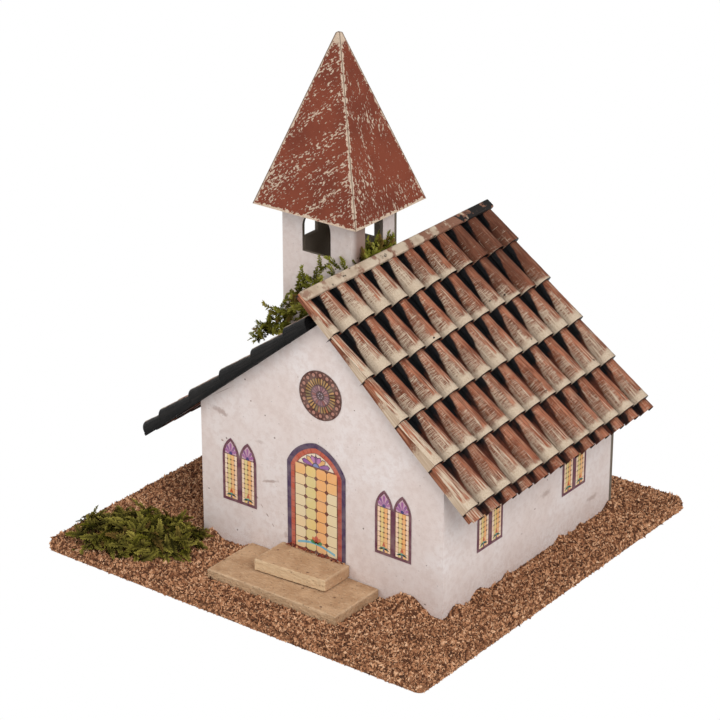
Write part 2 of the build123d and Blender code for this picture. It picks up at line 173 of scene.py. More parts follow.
def steps(tree, value, low, high, to_low=0.0, to_high=1.0):
    values = {0: value, 1: low, 2: high, 3: to_low, 4: to_high}
    return put(tree, "ShaderNodeMapRange", values, interpolation_type="SMOOTHSTEP").outputs[0]


def noise(tree, place, scale, detail=2.0, roughness=0.5):
    values = {"Vector": place, "Scale": scale, "Detail": detail, "Roughness": roughness}
    return put(tree, "ShaderNodeTexNoise", values).outputs[0]


def blend(tree, share, a, b):
    return put(tree, "ShaderNodeMix", {0: share, 6: a, 7: b}, data_type="RGBA").outputs[2]


def ramp(tree, value, stops):
    node = put(tree, "ShaderNodeValToRGB", {0: value})
    elements = node.color_ramp.elements
    elements[0].position, elements[0].color = stops[0]
    elements[1].position, elements[1].color = stops[-1]
    for position, colour in stops[1:-1]:
        elements.new(position).color = colour
    return node.outputs[0]


def parts_of(tree, place):
    return put(tree, "ShaderNodeSeparateXYZ", {0: place}).outputs


def attribute(tree, name):
    return put(tree, "ShaderNodeAttribute", attribute_name=name).outputs["Fac"]


print("node helpers ready")

# %% [markdown]
# ## Groups and materials
# A node group is a tree with named inputs, and a material is a tree that ends in a shader.
# Both could be set up by hand in Blender's editor, but a script makes them the same in every run.
# Every finish here is a colour, a roughness and a bump, so one function connects these for all of them.

# %% Group and material helpers


def rgb(red, green, blue):
    """A colour given as on a screen, from 0 to 255, in the linear values that a render works in."""
    values = [v / 255 for v in (red, green, blue)]
    linear = [v / 12.92 if v <= 0.04045 else ((v + 0.055) / 1.055) ** 2.4 for v in values]
    return (*linear, 1.0)


def new_group(name, inputs, outputs, kind="ShaderNodeTree"):
    tree = bpy.data.node_groups.new(name, kind)
    for label, socket, value in inputs:
        made = tree.interface.new_socket(label, in_out="INPUT", socket_type=socket)
        if value is not None:
            made.default_value = value
    for label, socket in outputs:
        tree.interface.new_socket(label, in_out="OUTPUT", socket_type=socket)
    ins = tree.nodes.new("NodeGroupInput").outputs
    outs = tree.nodes.new("NodeGroupOutput").inputs
    return tree, ins, outs


def use(tree, group, values):
    return put(tree, "ShaderNodeGroup", values, node_tree=group).outputs


def new_material(name):
    made = bpy.data.materials.new(name)
    made.use_nodes = True
    tree = made.node_tree
    shader = tree.nodes["Principled BSDF"]
    place = tree.nodes.new("ShaderNodeTexCoord").outputs
    return made, tree, shader, place


def finish_material(tree, shader, colour, roughness, height=None, depth=0.2 * MM, shine=0.3):
    tree.links.new(colour, shader.inputs["Base Color"])
    shader.inputs["Specular IOR Level"].default_value = shine
    if isinstance(roughness, bpy.types.NodeSocket):
        tree.links.new(roughness, shader.inputs["Roughness"])
    else:
        shader.inputs["Roughness"].default_value = roughness
    if height is not None:
        bump = put(tree, "ShaderNodeBump", {"Height": height, "Distance": depth, "Strength": 0.7})
        tree.links.new(bump.outputs[0], shader.inputs["Normal"])


def paint_nodes(material, *names):
    for name in names:
        mesh = frame["nodes"][name].data
        mesh.materials.clear()
        mesh.materials.append(material)


print("group and material helpers ready")

# %% [markdown]
# ## Shared paint effects
# Dirt, cloudy print and dry brushing come back on many surfaces of a hand-made model.
# An image could show them, but it blurs close up, so each is a node group that gives out only masks.
# Specks are small dots in some cells of a Voronoi pattern. Mottle is slow, cloudy change.
# Strokes are noise stretched along one axis and cut at a level, like a dry brush.

# %% Shader groups
specks, ins, outs = new_group(
    "Specks",
    [("Place", VECTOR, None), ("Per metre", FLOAT, 250.0), ("Size", FLOAT, 0.12), ("Share", FLOAT, 0.2)],
    [("Mask", FLOAT)],
)
cells = put(specks, "ShaderNodeTexVoronoi", {"Vector": ins["Place"], "Scale": ins["Per metre"]})
chosen = calc(specks, "LESS_THAN", parts_of(specks, cells.outputs["Color"])[0], ins["Share"])
wobble = times(specks, noise(specks, ins["Place"], 1400.0), ins["Size"])
inside_dot = calc(specks, "LESS_THAN", cells.outputs["Distance"], wobble)
specks.links.new(times(specks, chosen, inside_dot), outs[0])

mottle, ins, outs = new_group(
    "Mottle",
    [("Place", VECTOR, None), ("Per metre", FLOAT, 30.0)],
    [("Cloud", FLOAT), ("Grain", FLOAT)],
)
cloud = noise(mottle, ins["Place"], ins["Per metre"], 4.0, 0.55)
fine = noise(mottle, ins["Place"], times(mottle, ins["Per metre"], 18.0), 2.0)
mottle.links.new(steps(mottle, cloud, 0.32, 0.7), outs[0])
mottle.links.new(fine, outs[1])

strokes, ins, outs = new_group(
    "Strokes",
    [
        ("Place", VECTOR, None),
        ("Per unit", VECTOR, (1, 1, 1)),
        ("Level", FLOAT, 0.5),
        ("Softness", FLOAT, 0.05),
    ],
    [("Mask", FLOAT)],
)
stretched = vector(strokes, "MULTIPLY", ins["Place"], ins["Per unit"])
level = noise(strokes, stretched, 1.0, 3.0, 0.6)
low = minus(strokes, ins["Level"], ins["Softness"])
high = plus(strokes, ins["Level"], ins["Softness"])
strokes.links.new(steps(strokes, level, low, high), outs[0])


def speck(tree, place, per_metre, size, share):
    values = {"Place": place, "Per metre": per_metre, "Size": size, "Share": share}
    return use(tree, specks, values)[0]


def clouds(tree, place, per_metre):
    return use(tree, mottle, {"Place": place, "Per metre": per_metre})


def brush(tree, place, per_unit, level, softness):
    values = {"Place": place, "Per unit": per_unit, "Level": level, "Softness": softness}
    return use(tree, strokes, values)[0]


print("shader groups:", specks.name, mottle.name, strokes.name)

# %% [markdown]
# ## Printed plaster on card
# The walls are card with a printed paper face: pale, slightly pink and clouded, with dark specks.
# Noise alone would spread the wear evenly, but handling leaves stained spots and creases in a few places.
# So a short table places soft blots on the front and right walls, over an even print. One blot, under the
# left eave, is painted shade.

# %% Marks on the walls
STAIN_DEPTH = 5 * MM
PIER_WIDTHS = (0.3 * MM, 5.0 * MM)
PIER_HEIGHTS = (SPIRE_FOOT - 22.0 * MM, SPIRE_FOOT - 8.0 * MM)
# In millimetres: from the wall's middle, above its foot, half length, half height; then turn and strength
FRONT_MARKS = [
    # The first row is painted shade under the left eave.
    (-53.0, 63.6, 6.5, 2.0, -12, 0.5),
    (-26.5, 38.1, 6.4, 0.9, 16, 0.55),
    (-52.4, 50.0, 0.9, 0.5, 0, 1.0),
    (-33.6, 28.3, 0.8, 0.4, -50, 0.7),
    (-31.0, 25.0, 1.2, 0.3, -50, 0.7),
    (-28.0, 21.4, 1.0, 0.35, -50, 0.75),
    (-25.0, 17.6, 1.3, 0.3, -50, 0.6),
    (-51.0, 73.9, 9.0, 0.24, 33, 0.5),
    (-31.6, 55.2, 3.2, 1.2, 0, 0.3),
    (-18.3, 15.0, 1.2, 2.4, 0, 0.35),
    (-36.2, 73.1, 0.5, 0.5, 0, 0.8),
    (-10.7, 91.2, 0.5, 0.4, 0, 0.8),
]
RIGHT_MARKS = [
    (10.7, 29.6, 4.5, 2.0, 0, 0.4),
    (48.6, 12.3, 5.5, 1.6, 0, 0.4),
    (11.9, 35.6, 0.6, 0.5, 0, 0.9),
    (-6.8, 17.4, 0.6, 0.4, 0, 0.8),
    (2.8, 25.4, 0.7, 0.4, 0, 0.8),
    (-30.0, 40.0, 6.0, 3.0, 0, 0.25),
]


def blot(tree, spot, centre, half, turn, axis):
    """A stain or a patch of painted shade, with a soft ragged rim, turned about the wall's own axis."""
    off = vector(tree, "SUBTRACT", spot, centre)
    values = {"Vector": off, "Angle": math.radians(turn)}
    swung = put(tree, "ShaderNodeVectorRotate", values, rotation_type=axis).outputs[0]
    shares = vector(tree, "DIVIDE", swung, half)
    away = put(tree, "ShaderNodeVectorMath", {0: shares}, operation="LENGTH").outputs["Value"]
    away = calc(tree, "MULTIPLY_ADD", noise(tree, spot, 520.0, 3.0, 0.65), 1.4, away)
    return steps(tree, away, 1.0, 1.7, 1.0, 0.0)


def wall_marks_and_shade(tree, spot):
    """All the marks of both walls in one mask, each as strong as its row says: stained spots, creases, and
    one blot of painted shade under the left eave.
    """
    total = 0.0
    for along, up, length, height, turn, strength in FRONT_MARKS:
        centre = (HOUSE_X + along * MM, FRONT_Y, FOOT_Z + up * MM)
        one = blot(tree, spot, centre, (length * MM, STAIN_DEPTH, height * MM), turn, "Y_AXIS")
        total = larger(tree, total, times(tree, one, strength))
    for along, up, length, height, turn, strength in RIGHT_MARKS:
        centre = (RIGHT_X, HOUSE_Y + along * MM, FOOT_Z + up * MM)
        one = blot(tree, spot, centre, (STAIN_DEPTH, length * MM, height * MM), turn, "X_AXIS")
        total = larger(tree, total, times(tree, one, strength))
    return total


def pier_grime_and_shade(tree, spot):
    """Grime and painted shade on the tower's right face, between its front corner and its opening, worst low
    down.
    """
    x, y, z = parts_of(tree, spot)
    patch = steps(tree, minus(tree, y, tower_front_low.y), *PIER_WIDTHS)
    patch = times(tree, patch, calc(tree, "LESS_THAN", y, TOWER_Y))
    patch = times(tree, patch, calc(tree, "GREATER_THAN", x, TOWER_X))
    return times(tree, patch, steps(tree, z, *PIER_HEIGHTS, 1.0, 0.8))


print("marks on the walls:", len(FRONT_MARKS) + len(RIGHT_MARKS))

# %% [markdown]
# ## The card itself
# Under the marks the print is the same on all walls: clouds, blotches, specks, and dust near the ground.
# A photo of plaster would repeat when tiled. Layers of noise don't, and each can be set on its own.
# Cut edges show raw grey card, and so does the inside of the tower, only lighter.

# %% Wall materials
HALF_CARD = 0.8 * MM
DUST_HEIGHTS = (FOOT_Z + 1.0 * MM, FOOT_Z + 17.0 * MM)


def card_material(name, bare=None, inside=None, marks_and_shade=None):
    """Printed card. bare and inside, given tree and place, make masks of faces without paper."""
    made, tree, shader, place = new_material(name)
    spot = place["Object"]
    cloud = clouds(tree, spot, 26.0)
    small = clouds(tree, spot, 110.0)
    colour = blend(tree, cloud["Cloud"], rgb(227, 217, 214), rgb(219, 203, 196))
    colour = blend(tree, times(tree, small["Cloud"], 0.4), colour, rgb(210, 189, 180))
    blotches = steps(tree, noise(tree, spot, 430.0, 3.0, 0.6), 0.4, 0.68, 0.0, 0.5)
    colour = blend(tree, blotches, colour, rgb(203, 182, 173))
    colour = blend(tree, times(tree, small["Grain"], 0.3), colour, rgb(238, 232, 230))
    low_dust = steps(tree, parts_of(tree, spot)[2], *DUST_HEIGHTS, 1.0, 0.0)
    dust = times(tree, low_dust, steps(tree, small["Grain"], 0.42, 0.68))
    colour = blend(tree, times(tree, dust, 0.35), colour, rgb(170, 128, 100))
    dark_dots = times(tree, speck(tree, spot, 190.0, 0.17, 0.16), 0.75)
    faint_dots = times(tree, speck(tree, spot, 520.0, 0.3, 0.1), 0.25)
    colour = blend(tree, larger(tree, dark_dots, faint_dots), colour, rgb(84, 62, 52))
    # Marks from the given function, with painted shade among them: under the left eave of the front wall and
    # on the tower's right pier.
    if marks_and_shade is not None:
        colour = blend(tree, marks_and_shade(tree, spot), colour, rgb(140, 108, 94))
    if inside is not None:
        raw = blend(tree, small["Grain"], rgb(148, 134, 118), rgb(176, 162, 146))
        colour = blend(tree, inside(tree, place), colour, raw)
    if bare is not None:
        raw = blend(tree, small["Grain"], rgb(92, 82, 72), rgb(128, 116, 102))
        colour = blend(tree, bare(tree, place), colour, raw)
    finish_material(tree, shader, colour, 0.88, small["Grain"], 0.12 * MM)
    return made


def faces_across(axis):
    """A mask of the faces that don't look along the given axis: the card's cut edges."""

    def bare(tree, place):
        along = calc(tree, "ABSOLUTE", parts_of(tree, place["Normal"])[axis])
        return calc(tree, "LESS_THAN", along, 0.5)

    return bare


def tower_inside(tree, place):
    """All that lies within the tower's outer faces."""
    x, y, _ = parts_of(tree, place["Object"])
    from_x = calc(tree, "ABSOLUTE", minus(tree, x, TOWER_X))
    from_y = calc(tree, "ABSOLUTE", minus(tree, y, TOWER_Y))
    in_x = calc(tree, "LESS_THAN", from_x, TOWER_HALF_X - HALF_CARD)
    in_y = calc(tree, "LESS_THAN", from_y, TOWER_HALF_Y - HALF_CARD)
    return times(tree, in_x, in_y)


wall_front = card_material("wall_print", marks_and_shade=wall_marks_and_shade)
wall_back = card_material("wall_print_cut_edges", faces_across(1))
tower_across = card_material("tower_print_front_back", faces_across(1), tower_inside)
tower_along = card_material("tower_print_sides", faces_across(0), tower_inside, pier_grime_and_shade)
paint_nodes(wall_front, "front_wall", "left_wall", "right_wall")
paint_nodes(wall_back, "back_wall")
paint_nodes(tower_across, "tower_front_wall", "tower_back_wall")
paint_nodes(tower_along, "tower_left_wall", "tower_right_wall")
print("card materials on eight walls")

# %% [markdown]
# ## Rubbed paint on the spire
# Each spire card is painted red-brown over cream, then rubbed so that the cream shows in flecks.
# The flecks follow the rubbing: slanting on the front, upright on the sides, so one material takes a turn.
# Hips, foot and tip are rubbed most. Edge wear could be painted by hand on a UV map.
# Here it is read from a point's place: on a hip, the distances from the spire's axis in X and Y are equal.

# %% Spire materials
TIP_WEAR = 3.0 * MM


def spire_material(name, turn, streaks, flakes, kept):
    """Rubbed paint. streaks and flakes are counts per metre, and kept raises the paint that is left."""
    made, tree, shader, place = new_material(name)
    spot = vector(tree, "SUBTRACT", place["Object"], (TOWER_X, TOWER_Y, SPIRE_FOOT))
    x, y, z = parts_of(tree, spot)
    swung = put(tree, "ShaderNodeMapping", {"Vector": spot, "Rotation": turn}).outputs[0]
    paint = clouds(tree, spot, 60.0)
    colour = blend(tree, paint["Cloud"], rgb(124, 60, 40), rgb(108, 50, 33))
    cream = blend(tree, paint["Grain"], rgb(176, 148, 124), rgb(214, 196, 176))

    # Flecks: a level that changes in bands and patches cuts the fine noise
    bands = noise(tree, vector(tree, "MULTIPLY", swung, streaks), 1.0, 3.0, 0.55)
    patches = noise(tree, spot, 45.0, 2.0)
    in_bands = steps(tree, bands, 0.36, 0.64, 0.66, 0.54)
    in_patches = steps(tree, patches, 0.35, 0.65, kept + 0.02, kept - 0.02)
    flecks = brush(tree, swung, flakes, plus(tree, in_bands, in_patches), 0.03)

    # Wear along the hips, the foot and the tip
    ragged = noise(tree, spot, 620.0, 3.0, 0.65)
    edge = calc(tree, "MULTIPLY_ADD", ragged, 5.2 * MM, -1.7 * MM)
    side_x = times(tree, calc(tree, "ABSOLUTE", x), SPIRE_D / SPIRE_W)
    hip = calc(tree, "ABSOLUTE", minus(tree, side_x, calc(tree, "ABSOLUTE", y)))
    worn = calc(tree, "MINIMUM", hip, z)
    worn = calc(tree, "MINIMUM", worn, minus(tree, SPIRE_TOP - SPIRE_FOOT - TIP_WEAR, z))
    worn = calc(tree, "LESS_THAN", worn, edge)
    colour = blend(tree, larger(tree, worn, times(tree, flecks, 0.92)), colour, cream)

    # A dark joint where two cards meet, wider on the hips behind
    behind = larger(tree, calc(tree, "GREATER_THAN", y, 0.0), calc(tree, "LESS_THAN", x, 0.0))
    joint_wide = calc(tree, "MULTIPLY_ADD", behind, 0.5 * MM, 0.3 * MM)
    joint = steps(tree, hip, 0.12 * MM, joint_wide, 0.8, 0.0)
    colour = blend(tree, joint, colour, rgb(74, 50, 38))
    finish_material(tree, shader, colour, 0.85, plus(tree, paint["Grain"], flecks), 0.15 * MM)
    return made


SLANT = (0.0, math.radians(40.0), 0.0)
slanting = spire_material("spire_paint_slanting", SLANT, (30.0, 30.0, 260.0), (620.0, 620.0, 1250.0), 0.0)
UPRIGHT = (0.0, 0.0, 0.0)
upright = spire_material("spire_paint_upright", UPRIGHT, (240.0, 240.0, 24.0), (1250.0, 1250.0, 500.0), 0.015)
paint_nodes(slanting, "spire_front_card", "spire_back_card")
paint_nodes(upright, "spire_right_card", "spire_left_card")
print("spire materials on four cards")

# %% [markdown]
# ## Barrel tiles
# The sheet is moulded plastic: rows of half-round barrels, each wider at its lower lip.
# The CAD sheet has those forms, but no coordinates that follow one barrel, which a brushed paint needs.
# So one barrel is drawn as a curved skin with its own UV: U across it, V along it from head (0) to lip (1).
# The CAD sheet stays below as the carrier and shows in the channels.

# %% One barrel
COURSE, LIP_R, HEAD_R = 22.5 * MM, 4.3 * MM, 3.3 * MM
HEAD_CROWN, LIP_CROWN, LAP = 4.2 * MM, 6.2 * MM, 1.0 * MM
SKIN = 0.4 * MM
BACK_FLANK, SWEEP = 200, 220


def barrel_mesh(across=20, along=18):
    """A skin over one barrel, and an end wall at its lip with V above 1.1, which the paint makes black."""
    mesh = bpy.data.meshes.new("barrel")
    shape = bmesh.new()
    uv = shape.loops.layers.uv.new("TileUV")
    rows = []
    for j in range(along + 1):
        y = -LAP + (COURSE + LAP) * j / along
        t = y / COURSE
        radius = HEAD_R + (LIP_R - HEAD_R) * t + SKIN
        axis_z = HEAD_CROWN + (LIP_CROWN - HEAD_CROWN) * t + SKIN - radius
        row = []
        for i in range(across + 1):
            angle = math.radians(BACK_FLANK - SWEEP * i / across)
            row.append(shape.verts.new((radius * math.cos(angle), y, axis_z + radius * math.sin(angle))))
        rows.append(row)
    for j in range(along):
        for i in range(across):
            corners = [(j, i), (j + 1, i), (j + 1, i + 1), (j, i + 1)]
            face = shape.faces.new([rows[a][b] for a, b in corners])
            face.smooth = True
            for loop, (a, b) in zip(face.loops, corners):
                loop[uv].uv = (b / across, a / along)
    cap = shape.faces.new([shape.verts.new(v.co) for v in rows[-1]])
    for loop in cap.loops:
        loop[uv].uv = (0.5 + loop.vert.co.x / (2.4 * LIP_R), 1.2 + loop.vert.co.z / (40 * LIP_CROWN))
    shape.normal_update()
    shape.to_mesh(mesh)
    shape.free()
    return mesh


print("barrel in mm:", round(COURSE / MM, 1), "long,", round(2 * LIP_R / MM, 1), "wide at its lip")

# %% [markdown]
# ## Laying the barrels
# On the sheet the barrels stand in straight rows, and no barrel is quite like its neighbour.
# An Array modifier would make exact copies. A Geometry Nodes tree can turn each copy a little, roughen it,
# and give it a chance value for the paint to read.

# %% The tree that lays barrels
TILE_COLUMNS, TILE_COURSES = 12, 6
TILE_TURN = (0.004, 0.012, 0.011)


def draw(tree, low, high, seed):
    """A random value for every point or copy: a vector where low is one, or else a number."""
    if isinstance(low, tuple):
        values = {0: low, 1: high, "Seed": seed}
        return put(tree, "FunctionNodeRandomValue", values, data_type="FLOAT_VECTOR").outputs[0]
    values = {2: low, 3: high, "Seed": seed}
    return put(tree, "FunctionNodeRandomValue", values, data_type="FLOAT").outputs[1]


def mark(tree, copies, name, value):
    """Copies that each carry a named value, for a material to read."""
    values = {"Geometry": copies, "Name": name, "Value": value}
    node = put(tree, "GeometryNodeStoreNamedAttribute", values, data_type="FLOAT", domain="INSTANCE")
    return node.outputs[0]


def position(tree):
    return put(tree, "GeometryNodeInputPosition").outputs[0]


def normal(tree):
    return put(tree, "GeometryNodeInputNormal").outputs[0]


def end_tree(tree, geometry, paint, out):
    """The last node of a tree: Set Material, linked to the tree's output."""
    painted = put(tree, "GeometryNodeSetMaterial", {"Geometry": geometry, "Material": paint})
    tree.links.new(painted.outputs[0], out)


tile_tree, ins, outs = new_group(
    "Lay barrels",
    [
        ("Barrel", OBJECT, None),
        ("Columns", WHOLE, TILE_COLUMNS),
        ("Courses", WHOLE, TILE_COURSES),
        ("Column pitch", FLOAT, 12.0 * MM),
        ("Course pitch", FLOAT, COURSE),
        ("First column", FLOAT, 0.0),
        ("First head", FLOAT, 0.0),
        ("Roughness", FLOAT, 0.1 * MM),
        ("Seed", WHOLE, 1),
        ("Paint", MATERIAL, None),
    ],
    [("Sheet", GEOMETRY)],
    "GeometryNodeTree",
)
grid_wide = times(tile_tree, minus(tile_tree, ins["Columns"], 1.0), ins["Column pitch"])
grid_long = times(tile_tree, minus(tile_tree, ins["Courses"], 1.0), ins["Course pitch"])
values = {
    "Size X": grid_wide,
    "Size Y": grid_long,
    "Vertices X": ins["Columns"],
    "Vertices Y": ins["Courses"],
}
grid = put(tile_tree, "GeometryNodeMeshGrid", values)
values = {
    0: plus(tile_tree, ins["First column"], times(tile_tree, grid_wide, 0.5)),
    1: plus(tile_tree, ins["First head"], times(tile_tree, grid_long, 0.5)),
}
middle = put(tile_tree, "ShaderNodeCombineXYZ", values)
values = {"Geometry": grid.outputs["Mesh"], "Translation": middle.outputs[0]}
placed = put(tile_tree, "GeometryNodeTransform", values)
source = put(tile_tree, "GeometryNodeObjectInfo", {"Object": ins["Barrel"], "As Instance": True})
values = {
    "Points": placed.outputs[0],
    "Instance": source.outputs["Geometry"],
    "Rotation": draw(tile_tree, tuple(-turn for turn in TILE_TURN), TILE_TURN, ins["Seed"]),
}
laid = put(tile_tree, "GeometryNodeInstanceOnPoints", values)
marked = mark(tile_tree, laid.outputs[0], "tile_chance", draw(tile_tree, 0.0, 1.0, ins["Seed"]))
real = put(tile_tree, "GeometryNodeRealizeInstances", {0: marked})
lumps = minus(tile_tree, noise(tile_tree, position(tile_tree), 330.0, 3.0), 0.5)
push = scaled(tile_tree, normal(tile_tree), times(tile_tree, lumps, ins["Roughness"]))
rough = put(tile_tree, "GeometryNodeSetPosition", {"Geometry": real.outputs[0], "Offset": push})
end_tree(tile_tree, rough.outputs[0], ins["Paint"], outs[0])
print("tile tree:", len(tile_tree.nodes), "nodes")

# %% [markdown]
# ## Tile paint
# The moulding was painted terracotta, washed black in the channels, then dry-brushed with cream. Shade at
# each barrel's head and flanks is painted in with the wash.
# Worn edges are often found from the surface's curvature, but a dry brush drags on what stands out.
# So the barrel's UV places the cream: at the lips and along the crowns, in strokes across and along.
# The sheet was brushed hardest near the front verge and the ridge, and hardly at all at the back eave.

# %% Tile materials
FIRST_CROWN = 4.6 * MM
COLUMN_PITCH = (SHEET_LENGTH - 2 * FIRST_CROWN) / (TILE_COLUMNS - 1)
RIGHT_FIRST_LIP, LEFT_FIRST_LIP = 8.3 * MM, 15.2 * MM
FIRST_COLUMN_END = (SHEET_FRONT + 7.5 * MM, SHEET_FRONT + 9.5 * MM)
WHOLE_SHEET = (SHEET_FRONT - 2.0 * MM, SHEET_BACK - 18.5 * MM)
FAR_BACK = (SHEET_BACK - 63.5 * MM, SHEET_BACK - 18.5 * MM)
NEAR_RIDGE = (APEX_Z - 25.5 * MM, APEX_Z - 2.5 * MM)
LOW_COURSES = (APEX_Z - 58.5 * MM, APEX_Z - 14.5 * MM)


def tile_material(name, black_verge=False):
    """Dry-brushed barrel. U runs from its back flank (0) to its front flank (1), V from head to lip."""
    made, tree, shader, place = new_material(name)
    spot = place["Object"]
    uv = put(tree, "ShaderNodeUVMap", uv_map="TileUV").outputs[0]
    u, v, _ = parts_of(tree, uv)
    chance = attribute(tree, "tile_chance")
    shift = put(tree, "ShaderNodeCombineXYZ", {2: times(tree, chance, 37.0)}).outputs[0]
    own = vector(tree, "ADD", uv, shift)
    _, y, z = parts_of(tree, spot)
    paint = clouds(tree, spot, 120.0)
    ragged = minus(tree, noise(tree, own, 5.0, 3.0, 0.65), 0.5)
    rough_u = calc(tree, "MULTIPLY_ADD", ragged, 0.18, u)
    rough_v = calc(tree, "MULTIPLY_ADD", ragged, 0.22, v)
    first_column = steps(tree, y, *FIRST_COLUMN_END, 1.0, 0.0)
    other_columns = minus(tree, 1.0, first_column)
    low_down = steps(tree, z, *LOW_COURSES, 1.0, 0.0)

    # Terracotta with dark lengthwise brush lines and lighter ones painted as glints, duller at the back of
    # the ridge
    colour = blend(tree, paint["Cloud"], rgb(176, 110, 82), rgb(136, 76, 53))
    lines = brush(tree, own, (34.0, 1.6, 1.0), 0.52, 0.08)
    colour = blend(tree, times(tree, lines, 0.62), colour, rgb(84, 45, 32))
    glints = brush(tree, own, (38.0, 2.4, 3.0), 0.58, 0.06)
    colour = blend(tree, times(tree, glints, 0.45), colour, rgb(206, 160, 130))
    back_top = times(tree, steps(tree, y, *FAR_BACK), steps(tree, z, *NEAR_RIDGE))
    colour = blend(tree, times(tree, back_top, 0.6), colour, rgb(66, 40, 30))

    # How freely this barrel took the cream: more near the front verge, less low down, and by chance
    spread = steps(tree, y, *WHOLE_SHEET, 0.0, -0.03)
    spread = plus(tree, spread, calc(tree, "MULTIPLY_ADD", chance, 0.1, -0.05))
    spread = minus(tree, spread, times(tree, back_top, 0.16))
    spread = minus(tree, spread, times(tree, low_down, 0.02))

    # Short strokes across the front flank, with dark paint left between them
    level = minus(tree, steps(tree, v, 0.05, 0.9, 0.57, 0.47), spread)
    hatch = brush(tree, own, (4.2, 92.0, 1.0), level, 0.07)
    hatch = times(tree, hatch, steps(tree, low_down, 0.0, 1.0, 1.0, 0.6))
    flank = steps(tree, calc(tree, "MULTIPLY_ADD", ragged, 0.3, u), 0.55, 0.64)
    flank = times(tree, flank, other_columns)
    between = times(tree, flank, steps(tree, v, 0.2, 0.5, 0.0, 0.5))
    colour = blend(tree, between, colour, rgb(92, 54, 39))

    # Long strokes on the crown and along the foot of the flank, and a full band at the lip
    crown_level = plus(tree, level, calc(tree, "MULTIPLY_ADD", first_column, -0.09, 0.08))
    along = brush(tree, own, (26.0, 1.8, 1.0), crown_level, 0.07)
    edge = times(tree, steps(tree, rough_u, 0.78, 0.82), steps(tree, rough_u, 0.86, 0.9, 1.0, 0.0))
    edge = times(tree, edge, times(tree, other_columns, steps(tree, level, 0.44, 0.58, 0.9, 0.0)))
    brushed = larger(tree, times(tree, hatch, flank), larger(tree, along, edge))
    lip = steps(tree, calc(tree, "MULTIPLY_ADD", spread, 1.1, rough_v), 0.78, 0.88)
    lip = times(tree, lip, steps(tree, paint["Grain"], 0.3, 0.42, 0.6, 1.0))
    cream = blend(tree, paint["Grain"], rgb(176, 152, 128), rgb(220, 204, 181))
    colour = blend(tree, larger(tree, brushed, lip), colour, cream)
    chips = speck(tree, spot, 300.0, 0.3, 0.12)
    colour = blend(tree, times(tree, chips, steps(tree, v, 0.75, 0.85)), colour, rgb(44, 34, 30))

    # Dark wash and painted shade: red-brown on the back flank and low on the front one, black towards the
    # head
    # The back flank's red-brown is partly painted shade on the side away from the light.
    shade = steps(tree, rough_u, 0.26, 0.46, 0.85, 0.0)
    foot = calc(tree, "MULTIPLY_ADD", ragged, 0.12, steps(tree, v, -0.1, 1.0, 0.66, 0.95))
    foot = calc(tree, "MULTIPLY_ADD", low_down, 0.06, foot)
    # The dark foot of the front flank is partly wash and partly painted shade beside the channel.
    low = times(tree, steps(tree, minus(tree, u, foot), -0.04, 0.03), other_columns)
    # The dark start of each barrel is a painted shadow, cast by the lip of the course above.
    head = times(tree, steps(tree, rough_v, 0.04, 0.12, 0.85, 0.0), other_columns)
    dark = larger(tree, larger(tree, shade, low), head)
    soot = calc(tree, "MULTIPLY_ADD", paint["Cloud"], 0.35, calc(tree, "MULTIPLY_ADD", low_down, 0.5, v))
    wash = blend(tree, steps(tree, soot, 0.6, 1.15), rgb(15, 15, 17), rgb(98, 54, 40))
    colour = blend(tree, dark, colour, blend(tree, low, rgb(84, 46, 33), wash))
    black = larger(tree, steps(tree, u, 0.14, 0.24, 1.0, 0.0), calc(tree, "GREATER_THAN", v, 1.1))
    if black_verge:
        front = times(tree, first_column, steps(tree, rough_u, 0.4, 0.46, 1.0, 0.0))
        black = larger(tree, black, front)
    colour = blend(tree, black, colour, blend(tree, lines, rgb(13, 12, 12), rgb(30, 27, 25)))
    roughness = steps(tree, larger(tree, black, low), 0.0, 1.0, 0.7, 0.45)
    bumps = plus(tree, paint["Grain"], times(tree, lines, 0.5))
    finish_material(tree, shader, colour, roughness, bumps, 0.3 * MM, 0.15)
    return made


tile_paint = tile_material("tile_paint")
tile_paint_black_verge = tile_material("tile_paint_black_verge", True)
print("tile paints:", tile_paint.name, tile_paint_black_verge.name)

# %% [markdown]
# ## Channels, verges and ridge
# Between the barrels the carrier sheet shows, and its cut front edge is the verge.
# It has no UV, so the place on the slope is worked out: how far down from the apex and how proud of it.
# The right verge was brushed like the tiles, course by course, with a painted shadow below each lip. The left
# one was left glossy black, with painted reflections in its streaks.
# The ridge strip took cream paint above every barrel, and turns brown and sooty towards the back.

# %% Channel and ridge materials
VERGE_DEPTH, BLACK_STRIP = 4.0 * MM, 12.0 * MM
RIDGE_BROWN = (SHEET_BACK - 78.5 * MM, SHEET_BACK - 18.5 * MM)
RIDGE_PATCHES = (SHEET_FRONT + 10.0 * MM, SHEET_FRONT + 80.0 * MM)
RIDGE_SOOT = (SHEET_BACK - 38.5 * MM, SHEET_BACK - 6.5 * MM)


